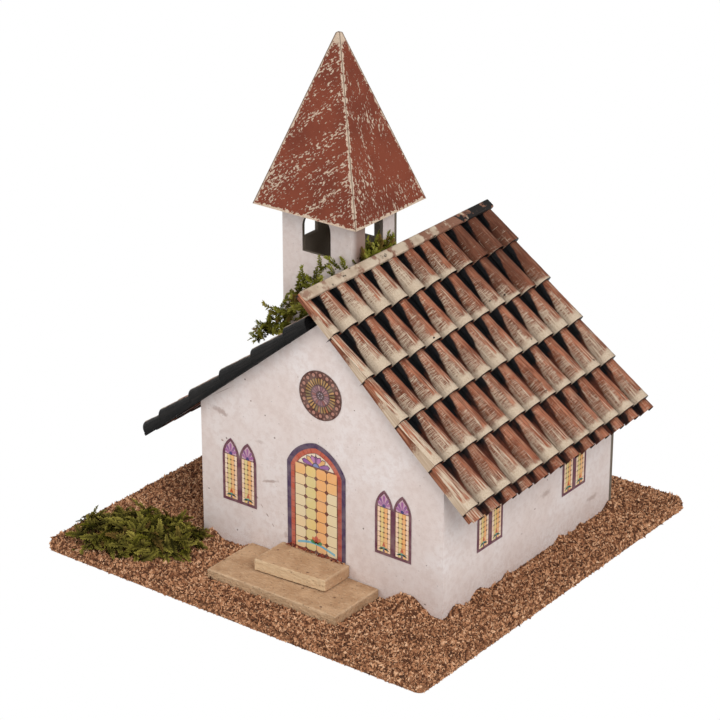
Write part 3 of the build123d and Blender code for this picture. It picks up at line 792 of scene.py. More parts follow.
def channel_material(name, side, first_lip):
    """Dark wash on the carrier sheet, black at each head and red-brown near each lip.

    The right sheet's front edge has terracotta and cream streaks instead, with a painted shadow below each
    lip, and the left one's is glossy black with grey streaks, brush marks that also stand for painted
    reflections.
    """
    made, tree, shader, place = new_material(name)
    spot = place["Object"]
    x, y, z = parts_of(tree, spot)
    paint = clouds(tree, spot, 140.0)
    from_ridge = times(tree, minus(tree, x, HOUSE_X), side)
    below = minus(tree, APEX_Z, z)
    down = calc(tree, "MULTIPLY_ADD", below, math.sin(SLOPE), times(tree, from_ridge, math.cos(SLOPE)))
    share = calc(tree, "FRACT", calc(tree, "DIVIDE", minus(tree, down, first_lip), COURSE))
    low_down = steps(tree, z, *LOW_COURSES, 0.5, 0.0)
    soot = calc(tree, "MULTIPLY_ADD", paint["Cloud"], 0.35, plus(tree, share, low_down))
    colour = blend(tree, steps(tree, soot, 0.62, 1.2), rgb(13, 13, 15), rgb(92, 50, 37))
    front = calc(tree, "LESS_THAN", parts_of(tree, place["Normal"])[1], -0.8)
    front = times(tree, front, calc(tree, "LESS_THAN", y, SHEET_FRONT + VERGE_DEPTH))
    inwards = times(tree, below, -math.cos(SLOPE))
    proud = calc(tree, "MULTIPLY_ADD", from_ridge, math.sin(SLOPE), inwards)
    flow = put(tree, "ShaderNodeCombineXYZ", {0: down, 1: proud}).outputs[0]
    streaks = brush(tree, flow, (40.0, 900.0, 1.0), 0.55, 0.1)
    if side > 0:
        bare = calc(tree, "MULTIPLY_ADD", noise(tree, spot, 650.0, 3.0, 0.65), 0.5, minus(tree, share, 0.25))
        brown = blend(tree, streaks, rgb(112, 64, 45), rgb(172, 116, 88))
        cream = blend(tree, streaks, rgb(184, 160, 136), rgb(214, 196, 172))
        edge = blend(tree, steps(tree, bare, 0.42, 0.66), brown, cream)
        # A dark line just below each lip is a painted shadow, cast by the lip.
        edge = blend(tree, steps(tree, share, 0.02, 0.06, 1.0, 0.0), edge, rgb(40, 28, 24))
    else:
        # Grey streaks on the black: brush marks that also stand for painted reflections of the gloss.
        edge = blend(tree, times(tree, streaks, 0.7), rgb(9, 9, 9), rgb(40, 38, 37))
        strip = calc(tree, "LESS_THAN", y, SHEET_FRONT + BLACK_STRIP)
        colour = blend(tree, strip, colour, rgb(14, 13, 13))
    colour = blend(tree, front, colour, edge)
    finish_material(tree, shader, colour, 0.45, paint["Grain"], 0.3 * MM, 0.1)
    return made


def ridge_material():
    """Cream paint with faint brown patches above the barrels, browner and then black towards the back."""
    made, tree, shader, place = new_material("ridge_paint")
    spot = place["Object"]
    _, y, _ = parts_of(tree, spot)
    paint = clouds(tree, spot, 150.0)
    cream = blend(tree, paint["Cloud"], rgb(204, 186, 163), rgb(176, 154, 132))
    brown = blend(tree, paint["Grain"], rgb(98, 56, 40), rgb(146, 92, 68))
    turn = times(tree, minus(tree, y, SHEET_FRONT + FIRST_CROWN), 2 * math.pi / COLUMN_PITCH)
    uneven = calc(tree, "MULTIPLY_ADD", noise(tree, spot, 300.0, 4.0, 0.65), 5.0, -2.5)
    wave = plus(tree, calc(tree, "COSINE", turn), uneven)
    patch = steps(tree, plus(tree, wave, times(tree, steps(tree, y, *RIDGE_BROWN), 1.9)), 0.3, 1.2)
    patch = times(tree, patch, steps(tree, y, *RIDGE_PATCHES, 0.65, 0.9))
    colour = blend(tree, patch, cream, brown)
    sooty = plus(tree, noise(tree, spot, 260.0, 3.0, 0.6), steps(tree, y, *RIDGE_SOOT, 0.0, 0.3))
    colour = blend(tree, steps(tree, sooty, 0.62, 0.7), colour, rgb(26, 21, 19))
    finish_material(tree, shader, colour, 0.66, paint["Grain"], 0.3 * MM)
    return made


paint_nodes(channel_material("tile_channels_right", 1, RIGHT_FIRST_LIP), "roof_sheet_right")
paint_nodes(channel_material("tile_channels_left", -1, LEFT_FIRST_LIP), "roof_sheet_left")
paint_nodes(ridge_material(), "ridge_strip")
print("channel and ridge paints on three nodes")

# %% [markdown]
# ## Running a Geometry Nodes tree
# A tree runs as a modifier on an empty mesh. Its inputs are set by their identifiers before it is evaluated.
# The modifier could stay, but an export drops instances and live trees, so the result becomes a plain mesh.

# %% Grow a mesh from a tree


def link(obj):
    scene.collection.objects.link(obj)
    return obj


def grow(name, tree, values):
    obj = link(bpy.data.objects.new(name, bpy.data.meshes.new(name)))
    modifier = obj.modifiers.new("grow", "NODES")
    modifier.node_group = tree
    for item in tree.interface.items_tree:
        if item.in_out == "INPUT" and item.name in values:
            modifier[item.identifier] = values[item.name]
    graph = bpy.context.evaluated_depsgraph_get()
    made = bpy.data.meshes.new_from_object(obj.evaluated_get(graph), depsgraph=graph)
    obj.modifiers.remove(modifier)
    obj.data = made
    made.name = name
    return obj


def settle(obj, slot, *replaced):
    """Hands a finished piece to the frame."""
    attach(obj, "root")
    if replaced:
        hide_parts(*replaced)
    print(obj.name, len(obj.data.polygons), "faces")
    return obj


print("trees can now grow meshes")

# %% [markdown]
# ## The tile sheets
# The two sheets were cut to size through the barrels, the right one on a slanting verge.
# A Boolean is meant for closed solids and these skins are open, so planes cut them where the carrier ends.
# At the verge the skin's edge is bent down to meet the carrier.

# %% Tile sheets


def trim(mesh, cuts, bend=0.0):
    """Cuts off what lies beyond each plane, given as a point and an outward direction.

    The edge of the last cut can be bent down, to close the gap between the skin and its carrier.
    """
    shape = bmesh.new()
    shape.from_mesh(mesh)
    for point, outward in cuts:
        everything = list(shape.verts) + list(shape.edges) + list(shape.faces)
        plane = {"plane_co": point, "plane_no": outward, "clear_outer": True}
        cut = bmesh.ops.bisect_plane(shape, geom=everything, **plane)
    for vert in cut["geom_cut"]:
        if isinstance(vert, bmesh.types.BMVert):
            vert.co.z -= bend
    shape.to_mesh(mesh)
    shape.free()


def slope_frame(side):
    """Local X along the sheet, local Y down the slope from the apex, local Z outwards."""
    c, s = math.cos(SLOPE), math.sin(SLOPE)
    if side == "right":
        columns = ((0, -1, 0), (c, 0, -s), (s, 0, c))
        origin = (HOUSE_X, SHEET_BACK, APEX_Z)
    else:
        columns = ((0, 1, 0), (-c, 0, -s), (-s, 0, c))
        origin = (HOUSE_X, SHEET_FRONT, APEX_Z)
    return Matrix.Translation(origin) @ Matrix(columns).transposed().to_4x4()


VERGE_TOP_TRIM, VERGE_EAVE_TRIM = 3.1 * MM, 1.2 * MM
VERGE_BEND = 1.4 * SKIN
RIGHT_EDGES = (-14.1 * MM, 103.4 * MM)
LEFT_EDGES = (1.7 * MM, 118.3 * MM)
barrel_source = link(bpy.data.objects.new("barrel_source", barrel_mesh()))
for side, first_lip, (top, bottom), paint, seed in (
    ("right", RIGHT_FIRST_LIP, RIGHT_EDGES, tile_paint, 11),
    ("left", LEFT_FIRST_LIP, LEFT_EDGES, tile_paint_black_verge, 29),
):
    values = {
        "Barrel": barrel_source,
        "Column pitch": COLUMN_PITCH,
        "First column": FIRST_CROWN,
        "First head": first_lip - COURSE,
        "Seed": seed,
        "Roughness": 0.3 * MM,
        "Paint": paint,
    }
    tiles = grow(f"tiles_{side}", tile_tree, values)
    cuts = [((0, top, 0), (0, -1, 0)), ((0, bottom, 0), (0, 1, 0))]
    if side == "right":
        edge = (bottom - top, VERGE_EAVE_TRIM - VERGE_TOP_TRIM, 0)
        cuts.append(((SHEET_LENGTH - VERGE_TOP_TRIM, top, 0), edge))
    trim(tiles.data, cuts, VERGE_BEND if side == "right" else 0.0)
    tiles.data.transform(slope_frame(side))
    settle(tiles, "tile_sheet")
bpy.data.objects.remove(barrel_source)

# %% [markdown]
# ## Cork crumbs
# The ground is glue strewn with cork granules of one or two millimetres, on top and down the board's sides.
# Bump alone would leave the rim smooth, so the crumbs are real chips.
# The tree scatters points on the CAD ground and puts one of four lumpy chips on each, with a chance value.
# Nothing hangs below the board's underside.

# %% Cork tree
CHIP_KINDS = 4
FULL_TURN = (6.28, 6.28, 6.28)
FLATTEST, ROUNDEST = (0.7, 0.45, 0.3), (1.3, 0.9, 0.7)


def lifted_onto(tree, floor, geometry):
    """Geometry in which every point below the floor's height lies on it."""
    x, y, z = parts_of(tree, position(tree))
    seated = put(tree, "ShaderNodeCombineXYZ", {0: x, 1: y, 2: larger(tree, z, floor)})
    values = {"Geometry": geometry, "Position": seated.outputs[0]}
    return put(tree, "GeometryNodeSetPosition", values).outputs[0]


cork_tree, ins, outs = new_group(
    "Strew crumbs",
    [
        ("Ground", OBJECT, None),
        ("Apart", FLOAT, 0.55 * MM),
        ("Per square metre", FLOAT, 4.0e6),
        ("Smallest", FLOAT, 1.0 * MM),
        ("Largest", FLOAT, 2.2 * MM),
        ("Least upward", FLOAT, 0.5),
        ("Most upward", FLOAT, 1.1),
        ("Rim", FLOAT, 0.0),
        ("Floor", FLOAT, cad_low.z),
        ("Seed", WHOLE, 1),
        ("Paint", MATERIAL, None),
    ],
    [("Crumbs", GEOMETRY)],
    "GeometryNodeTree",
)
ground = put(cork_tree, "GeometryNodeObjectInfo", {"Object": ins["Ground"]}, transform_space="ORIGINAL")
up = parts_of(cork_tree, normal(cork_tree))[2]
x, y, _ = parts_of(cork_tree, position(cork_tree))
out_by = larger(cork_tree, calc(cork_tree, "ABSOLUTE", x), calc(cork_tree, "ABSOLUTE", y))
upward = calc(cork_tree, "GREATER_THAN", up, ins["Least upward"])
wanted = times(cork_tree, upward, calc(cork_tree, "LESS_THAN", up, ins["Most upward"]))
wanted = times(cork_tree, wanted, calc(cork_tree, "GREATER_THAN", out_by, ins["Rim"]))
values = {
    "Mesh": ground.outputs["Geometry"],
    "Selection": wanted,
    "Distance Min": ins["Apart"],
    "Density Max": ins["Per square metre"],
    "Seed": ins["Seed"],
}
strewn = put(cork_tree, "GeometryNodeDistributePointsOnFaces", values, distribute_method="POISSON")
chips = put(cork_tree, "GeometryNodeJoinGeometry")
for number in range(CHIP_KINDS):
    ball = put(cork_tree, "GeometryNodeMeshUVSphere", {"Segments": 4, "Rings": 2, "Radius": 0.6})
    elsewhere = vector(cork_tree, "ADD", position(cork_tree), (number * 7.3, 0, 0))
    bent = put(cork_tree, "ShaderNodeTexNoise", {"Vector": elsewhere, "Scale": 1.7, "Detail": 1.0})
    by = vector(cork_tree, "SUBTRACT", bent.outputs["Color"], (0.5, 0.5, 0.5))
    values = {"Geometry": ball.outputs["Mesh"], "Offset": vector(cork_tree, "MULTIPLY", by, (1.5, 1.5, 1.5))}
    chip = put(cork_tree, "GeometryNodeSetPosition", values)
    kind = put(cork_tree, "GeometryNodeGeometryToInstance", {0: chip.outputs[0]})
    cork_tree.links.new(kind.outputs[0], chips.inputs[0])
grade = draw(cork_tree, 0.0, 1.0, plus(cork_tree, ins["Seed"], 2.0))
grade = calc(cork_tree, "POWER", grade, 1.6)
size_range = minus(cork_tree, ins["Largest"], ins["Smallest"])
size = calc(cork_tree, "MULTIPLY_ADD", grade, size_range, ins["Smallest"])
pick = put(
    cork_tree,
    "FunctionNodeRandomValue",
    {4: 0, 5: CHIP_KINDS - 1, "Seed": ins["Seed"]},
    data_type="INT",
)
values = {
    "Points": strewn.outputs["Points"],
    "Instance": chips.outputs[0],
    "Pick Instance": True,
    "Instance Index": pick.outputs[2],
    "Rotation": draw(cork_tree, (0, 0, 0), FULL_TURN, ins["Seed"]),
    "Scale": scaled(cork_tree, draw(cork_tree, FLATTEST, ROUNDEST, ins["Seed"]), size),
}
crumbs = put(cork_tree, "GeometryNodeInstanceOnPoints", values)
chance = draw(cork_tree, 0.0, 1.0, plus(cork_tree, ins["Seed"], 1.0))
marked = mark(cork_tree, crumbs.outputs[0], "crumb_chance", chance)
real = put(cork_tree, "GeometryNodeRealizeInstances", {0: marked})
end_tree(cork_tree, lifted_onto(cork_tree, ins["Floor"], real.outputs[0]), ins["Paint"], outs[0])


print("cork tree:", len(cork_tree.nodes), "nodes")

# %% [markdown]
# ## Crumbs on the ground and the rim
# Cork has many browns side by side. One mixed brown would look like sand, so each crumb has its own tone.
# Crumbs lie on the four CAD grounds, and a second lot covers the upright rim of the grounds and the board.
# The CAD grounds stay below as the dark bed of glue and dust.

# %% Cork crumbs


def cork_material(name, tones):
    made, tree, shader, place = new_material(name)
    spot = clouds(tree, place["Object"], 420.0)
    own_tone = attribute(tree, "crumb_chance")
    tint = calc(tree, "MULTIPLY_ADD", minus(tree, spot["Cloud"], 0.5), 0.25, own_tone)
    stops = [(share, rgb(*tone)) for share, tone in zip((0.0, 0.2, 0.5, 0.8, 1.0), tones)]
    finish_material(tree, shader, ramp(tree, tint, stops), 0.85, spot["Grain"], 0.1 * MM)
    return made


def plain_material(name, tone, other_tone, per_metre, roughness, depth):
    """Two clouded tones, for the board and for the dark glue and dust between the crumbs."""
    made, tree, shader, place = new_material(name)
    spot = clouds(tree, place["Object"], per_metre)
    colour = blend(tree, spot["Cloud"], tone, other_tone)
    finish_material(tree, shader, colour, roughness, spot["Grain"], depth)
    return made


CORK_TONES = ((78, 44, 26), (128, 82, 54), (174, 122, 86), (200, 150, 112), (222, 180, 144))
cork_paint = cork_material("cork_crumbs", CORK_TONES)
grounds = ["cork_ground_front", "cork_ground_back", "cork_ground_left", "cork_ground_right"]
bed = plain_material("cork_bed", rgb(70, 42, 26), rgb(104, 66, 42), 300.0, 0.9, 0.4 * MM)
paint_nodes(bed, *grounds)
for number, name in enumerate(grounds):
    values = {"Ground": frame["nodes"][name], "Seed": 40 + 7 * number, "Paint": cork_paint}
    settle(grow(name.replace("ground", "crumbs"), cork_tree, values), "cork")
for number, name in enumerate(grounds + ["base_board"]):
    values = {
        "Ground": frame["nodes"][name],
        "Seed": 90 + 7 * number,
        "Least upward": -0.5,
        "Most upward": 0.5,
        "Rim": cad_high.x - 1.0 * MM,
        "Paint": cork_paint,
    }
    settle(grow(name + "_rim_crumbs", cork_tree, values), "cork")

# %% [markdown]
# ## Worn blocks
# The steps are soft fibreboard, sawn by hand and rubbed, with short fibres all over.
# A Bevel modifier would round the edges evenly, but a saw and handling wear them unevenly.
# So a tree turns the CAD block into a volume and back, which rounds it, then roughens the skin with noise.
# Loose fibres lie on it and stick out at the edges.

# %% Wear tree
wear_tree, ins, outs = new_group(
    "Wear block",
    [
        ("Block", OBJECT, None),
        ("Voxel", FLOAT, 0.32 * MM),
        ("Band", FLOAT, 1.5 * MM),
        ("Wear", FLOAT, 0.5 * MM),
        ("Fibres per square metre", FLOAT, 9.0e5),
        ("Fibre", VECTOR, (1.1 * MM, 0.1 * MM, 1.0)),
        ("Seed", WHOLE, 1),
        ("Paint", MATERIAL, None),
    ],
    [("Worn", GEOMETRY)],
    "GeometryNodeTree",
)
block = put(wear_tree, "GeometryNodeObjectInfo", {"Object": ins["Block"]}, transform_space="ORIGINAL")
values = {
    "Mesh": block.outputs["Geometry"],
    "Density": 1.0,
    "Voxel Size": ins["Voxel"],
    "Interior Band Width": ins["Band"],
}
solid = put(wear_tree, "GeometryNodeMeshToVolume", values, resolution_mode="VOXEL_SIZE")
skin = put(wear_tree, "GeometryNodeVolumeToMesh", {"Volume": solid.outputs[0], "Threshold": 0.2})
lumps = minus(wear_tree, noise(wear_tree, position(wear_tree), 420.0, 4.0, 0.6), 0.56)
push = scaled(wear_tree, normal(wear_tree), times(wear_tree, lumps, ins["Wear"]))
rough = put(wear_tree, "GeometryNodeSetPosition", {"Geometry": skin.outputs[0], "Offset": push})
values = {"Mesh": rough.outputs[0], "Density": ins["Fibres per square metre"], "Seed": ins["Seed"]}
loose = put(wear_tree, "GeometryNodeDistributePointsOnFaces", values)
values = {"Size X": 1.0, "Size Y": 1.0, "Vertices X": 2, "Vertices Y": 2}
fibre = put(wear_tree, "GeometryNodeMeshGrid", values)
spin = draw(wear_tree, (-0.35, -0.35, 0), (0.35, 0.35, FULL_TURN[2]), ins["Seed"])
values = {"Rotation": loose.outputs["Rotation"], "Rotate By": spin}
laid = put(wear_tree, "FunctionNodeRotateRotation", values, rotation_space="LOCAL")
values = {
    "Points": loose.outputs["Points"],
    "Instance": fibre.outputs["Mesh"],
    "Rotation": laid.outputs[0],
    "Scale": ins["Fibre"],
}
hairs = put(wear_tree, "GeometryNodeInstanceOnPoints", values)
real = put(wear_tree, "GeometryNodeRealizeInstances", {0: hairs.outputs[0]})
both = put(wear_tree, "GeometryNodeJoinGeometry", {0: rough.outputs[0]})
wear_tree.links.new(real.outputs[0], both.inputs[0])
end_tree(wear_tree, both.outputs[0], ins["Paint"], outs[0])


print("wear tree:", len(wear_tree.nodes), "nodes")

# %% [markdown]
# ## Board and steps
# The base is a thin brown board. The steps are beige, paler on rubbed edges and darker towards the wall.
# The Geometry node's Pointiness finds edges too, but it changes with the fineness of the mesh.
# The distance to the sides of the CAD block's box doesn't, and noise makes its line ragged.

# %% Board and steps


def step_material(name, node, front_light):
    """Fibreboard, paler along its worn edges and on its front, dimmer where it meets the wall."""
    low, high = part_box(node)
    made, tree, shader, place = new_material(name)
    spot = place["Object"]
    x, y, z = parts_of(tree, spot)
    cloud = clouds(tree, spot, 120.0)
    fibre = brush(tree, spot, (420.0, 900.0, 900.0), 0.55, 0.1)
    colour = blend(tree, cloud["Cloud"], rgb(196, 160, 125), rgb(172, 134, 100))
    colour = blend(tree, times(tree, fibre, 0.35), colour, rgb(212, 180, 146))
    to_side = calc(tree, "MINIMUM", minus(tree, x, low.x), minus(tree, high.x, x))
    to_side = calc(tree, "MINIMUM", to_side, minus(tree, y, low.y))
    ragged = times(tree, noise(tree, spot, 500.0, 3.0), 2.2 * MM)
    worn = calc(tree, "LESS_THAN", larger(tree, to_side, minus(tree, high.z, z)), ragged)
    colour = blend(tree, times(tree, worn, 0.25), colour, rgb(222, 196, 164))
    faces_front = steps(tree, parts_of(tree, place["Normal"])[1], -0.8, -0.5, front_light, 0.0)
    colour = blend(tree, faces_front, colour, rgb(222, 194, 156))
    bits = times(tree, speck(tree, spot, 260.0, 0.34, 0.18), 0.75)
    dust = times(tree, speck(tree, spot, 640.0, 0.5, 0.22), 0.4)
    colour = blend(tree, larger(tree, bits, dust), colour, rgb(88, 58, 40))
    dim = times(tree, steps(tree, y, FRONT_Y - 7.0 * MM, FRONT_Y, 0.0, 0.35), cloud["Grain"])
    colour = blend(tree, dim, colour, rgb(120, 84, 58))
    finish_material(tree, shader, colour, 0.9, plus(tree, cloud["Grain"], fibre), 0.3 * MM)
    return made


board = plain_material("hardboard", rgb(104, 70, 48), rgb(144, 102, 72), 160.0, 0.85, 0.1 * MM)
paint_nodes(board, "base_board")
for number, (node, front_light) in enumerate((("lower_step", 0.25), ("upper_step", 0.75))):
    paint = step_material(f"fibreboard_{node}", node, front_light)
    values = {"Block": frame["nodes"][node], "Seed": 130 + number, "Paint": paint}
    settle(grow(f"{node}_worn", wear_tree, values), "fibreboard", node)

# %% [markdown]
# ## Crumbs at the door's foot
# A line of rust-coloured cork crumbs lies on the upper step, along the door's foot.
# Modelled one by one they would take long, so the cork tree is used again, on a narrow strip.
# The strip is only a place to grow on, so it is removed afterwards.

# %% Door foot


def flat_mesh(name, x_range, y_range, z):
    """One flat face that looks up."""
    (x0, x1), (y0, y1) = x_range, y_range
    mesh = bpy.data.meshes.new(name)
    mesh.from_pydata([(x0, y0, z), (x1, y0, z), (x1, y1, z), (x0, y1, z)], [], [(0, 1, 2, 3)])
    return mesh


RUST_TONES = ((58, 26, 22), (104, 44, 34), (132, 60, 44), (146, 92, 62), (190, 140, 100))
door_low, door_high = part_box("door_print")
step_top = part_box("upper_step")[1].z
strip_depth = (FRONT_Y - 1.7 * MM, FRONT_Y - 0.2 * MM)
strip = flat_mesh("door_foot", (door_low.x, door_high.x), strip_depth, step_top)
strip = link(bpy.data.objects.new("door_foot", strip))
values = {
    "Ground": strip,
    "Apart": 0.45 * MM,
    "Per square metre": 4.0e6,
    "Smallest": 0.8 * MM,
    "Largest": 2.2 * MM,
    "Seed": 151,
    "Paint": cork_material("rust_crumbs", RUST_TONES),
}
settle(grow("door_foot_crumbs", cork_tree, values), "cork")
bpy.data.objects.remove(strip)

# %% [markdown]
# ## Moss
# Dried moss is a tangle of small feathery fronds. Hair particles could give it, but they have no leaves.
# So four fronds are drawn, each a bent stem with pairs of leaves.
# Leaves are dark near the root and pale at the tip, which the frond's UV records.

# %% Fronds
FROND_LENGTH, FROND_PAIRS, STEM_PARTS = 9.0 * MM, 18, 4
HALF_LEAF, HALF_STEM = 0.44 * MM, 0.22 * MM


def frond_mesh(seed):
    """A feather along Z: a bent stem with pairs of broad leaves in the XZ plane and short ones out of it."""
    chance = random.Random(seed)
    mesh = bpy.data.meshes.new(f"frond_{seed}")
    shape = bmesh.new()
    uv = shape.loops.layers.uv.new("FrondUV")
    sway, droop = chance.uniform(-0.25, 0.25), chance.uniform(0.15, 0.4)

    def stem(t):
        return FROND_LENGTH * Vector((sway * t * t, -droop * t * t, t))

    def leaf(points, shares):
        face = shape.faces.new([shape.verts.new(point) for point in points])
        for loop, share in zip(face.loops, shares):
            loop[uv].uv = (0.5, share)

    for k in range(FROND_PAIRS):
        t = (k + 0.6) / FROND_PAIRS
        root = stem(t)
        ahead = (stem(t + 0.05) - stem(t - 0.05)).normalized()
        reach = (0.7 + 1.7 * math.sin(math.pi * min(1.0, t * 0.75 + 0.22))) * MM
        shares = [t * 0.6 + more for more in (0.0, 0.15, 0.4, 0.15)]
        for sign in (-1, 0, 1):
            lean = chance.uniform(-0.5, 0.5) if sign else chance.choice((-1.0, 1.0))
            out = Vector((sign, lean, chance.uniform(0.5, 1.1))).normalized()
            tip = root + out * reach * chance.uniform(0.75, 1.15) * (1.0 if sign else 0.6)
            wide = ahead * HALF_LEAF + Vector((0, chance.uniform(-0.2, 0.2), 0)) * MM
            middle = root + (tip - root) * 0.45
            leaf([root, middle - wide, tip, middle + wide], shares)
    side = Vector((HALF_STEM, 0, 0))
    for k in range(STEM_PARTS):
        a, b = stem(k / STEM_PARTS), stem((k + 1) / STEM_PARTS)
        low, high = k / STEM_PARTS / 2, (k + 1) / STEM_PARTS / 2
        leaf([a - side, a + side, b + side, b - side], [low, low, high, high])
    shape.to_mesh(mesh)
    shape.free()
    return mesh


print("frond:", FROND_PAIRS, "pairs of leaves")

# %% [markdown]
# ## Planting the fronds
# In a clump of moss the fronds lie along the surface, flat side out, with their tips up.
# Planted upright they would look like grass, so each takes a chance direction within the surface.
# Where a clump thins out upwards, fewer fronds grow the higher they are above its ground.

# %% Moss tree
moss_tree, ins, outs = new_group(
    "Plant moss",
    [
        ("Clump", OBJECT, None),
        ("Fronds", COLLECTION, None),
        ("Apart", FLOAT, 1.5 * MM),
        ("Per square metre", FLOAT, 6.0e5),
        ("Smallest", FLOAT, 0.55),
        ("Largest", FLOAT, 1.15),
        ("Lift", FLOAT, 0.5),
        ("Away", VECTOR, (0, 0, 1)),
        ("Lean", FLOAT, 0.0),
        ("Ground", VECTOR, (0, 0, 0)),
        ("Upwards", VECTOR, (0, 0, 1)),
        ("Thins out over", FLOAT, 1.0),
        ("Floor", FLOAT, cad_low.z),
        ("Seed", WHOLE, 1),
        ("Paint", MATERIAL, None),
    ],
    [("Moss", GEOMETRY)],
    "GeometryNodeTree",
)
clump = put(moss_tree, "GeometryNodeObjectInfo", {"Object": ins["Clump"]}, transform_space="ORIGINAL")
from_ground = vector(moss_tree, "SUBTRACT", position(moss_tree), ins["Ground"])
height = dot(moss_tree, from_ground, ins["Upwards"])
facing = dot(moss_tree, normal(moss_tree), ins["Away"])
values = {
    "Mesh": clump.outputs["Geometry"],
    "Selection": calc(moss_tree, "GREATER_THAN", facing, -0.3),
    "Distance Min": ins["Apart"],
    "Density Max": ins["Per square metre"],
    "Density Factor": steps(moss_tree, height, 0.0, ins["Thins out over"], 1.0, 0.06),
    "Seed": ins["Seed"],
}
planted = put(moss_tree, "GeometryNodeDistributePointsOnFaces", values, distribute_method="POISSON")
outward = planted.outputs["Normal"]
stray = draw(moss_tree, (-1, -1, -1), (1, 1, 1), ins["Seed"])
stray = vector(moss_tree, "ADD", stray, scaled(moss_tree, ins["Away"], ins["Lean"]))
through = vector(moss_tree, "PROJECT", stray, outward)
flat = vector(moss_tree, "NORMALIZE", vector(moss_tree, "SUBTRACT", stray, through))
rise = draw(moss_tree, 0.0, times(moss_tree, ins["Lift"], 2.0), plus(moss_tree, ins["Seed"], 1.0))
along = vector(moss_tree, "ADD", flat, scaled(moss_tree, outward, rise))
aim = put(moss_tree, "FunctionNodeAlignRotationToVector", {"Vector": along}, axis="Z")
values = {"Rotation": aim.outputs[0], "Vector": outward}
aimed = put(moss_tree, "FunctionNodeAlignRotationToVector", values, axis="Y", pivot_axis="Z")
values = {"Collection": ins["Fronds"], "Separate Children": True, "Reset Children": True}
fronds = put(moss_tree, "GeometryNodeCollectionInfo", values)
values = {
    "Points": planted.outputs["Points"],
    "Instance": fronds.outputs[0],
    "Pick Instance": True,
    "Rotation": aimed.outputs[0],
    "Scale": draw(moss_tree, ins["Smallest"], ins["Largest"], plus(moss_tree, ins["Seed"], 2.0)),
}
tufts = put(moss_tree, "GeometryNodeInstanceOnPoints", values)
tone = draw(moss_tree, 0.0, 1.0, plus(moss_tree, ins["Seed"], 3.0))
marked = mark(moss_tree, tufts.outputs[0], "frond_chance", tone)
real = put(moss_tree, "GeometryNodeRealizeInstances", {0: marked})
end_tree(moss_tree, lifted_onto(moss_tree, ins["Floor"], real.outputs[0]), ins["Paint"], outs[0])
print("moss tree:", len(moss_tree.nodes), "nodes")

# %% [markdown]
# ## Three clumps
# The moss on the ground is old and olive, and the tufts on the roof are fresher and stand up more.
# Three trees would repeat the same nodes, so one tree grows all of them, with its inputs set for each clump.
# One function makes both materials: dark and pale tones that a frond's chance value mixes.

# %% Moss clumps


def moss_material(name, dark_tones, pale_tones):
    made, tree, shader, place = new_material(name)
    share = parts_of(tree, put(tree, "ShaderNodeUVMap", uv_map="FrondUV").outputs[0])[1]
    chance = attribute(tree, "frond_chance")
    dark = blend(tree, chance, *dark_tones)
    pale = blend(tree, chance, *pale_tones)
    pale = blend(tree, steps(tree, chance, 0.84, 0.9), pale, rgb(130, 100, 52))
    patch = clouds(tree, place["Object"], 140.0)
    colour = blend(tree, steps(tree, share, 0.1, 0.9), dark, pale)
    colour = blend(tree, times(tree, patch["Cloud"], 0.45), colour, rgb(40, 38, 4))
    finish_material(tree, shader, colour, 0.8, shine=0.1)
    return made


frond_box = bpy.data.collections.new("fronds")
for seed in (3, 8, 15, 21):
    frond_box.objects.link(bpy.data.objects.new(f"frond_{seed}", frond_mesh(seed)))
scene.collection.children.link(frond_box)
olive_dark, olive_pale = (rgb(12, 10, 1), rgb(42, 37, 6)), (rgb(104, 100, 24), rgb(182, 168, 82))
fresh_dark, fresh_pale = (rgb(56, 54, 8), rgb(84, 80, 18)), (rgb(138, 140, 40), rgb(196, 190, 94))
olive = moss_material("moss_olive", olive_dark, olive_pale)
fresh = moss_material("moss_fresh", fresh_dark, fresh_pale)
left_slope = (-math.sin(SLOPE), 0, math.cos(SLOPE))
on_slope = Vector((HOUSE_X, 0, APEX_Z)) + Vector(left_slope) * LIP_CROWN
tower_moss = {
    "Paint": fresh,
    "Ground": on_slope,
    "Upwards": left_slope,
    "Thins out over": 13.0 * MM,
    "Apart": 1.7 * MM,
    "Lift": 0.8,
    "Away": (0.3, -0.6, 0.7),
    "Lean": 0.6,
}
ridge_moss = {
    "Paint": fresh,
    "Apart": 1.0 * MM,
    "Smallest": 0.5,
    "Largest": 0.85,
    "Lift": 1.1,
    "Away": (0.1, 0, 1),
    "Lean": 0.8,
}
for node, seed, own in (
    ("moss_ground", 5, {"Paint": olive, "Floor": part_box("moss_ground")[0].z}),
    ("moss_tower_front", 6, tower_moss),
    ("moss_ridge", 7, ridge_moss),
):
    values = {"Clump": frame["nodes"][node], "Fronds": frond_box, "Seed": seed, **own}
    settle(grow(node + "_fronds", moss_tree, values), "moss", node)
for obj in list(frond_box.objects):
    bpy.data.objects.remove(obj)
bpy.data.collections.remove(frond_box)

# %% [markdown]
# ## Printed windows and door
# The windows are paper prints. An image texture is the usual way, but a drawing stays sharp at any size.
# Each print is drawn as flat coloured shapes, laid one over another a hair apart like layers of ink.
# A shape is a list of points on the wall and a colour, kept in a corner attribute that the paper reads.
# The designs are plain traditional ones: leaded panes, a fan over the door and rings of petals in the rose.

# %% Ink shapes
PAPER_LIFT, INK = 0.2 * MM, 0.012 * MM


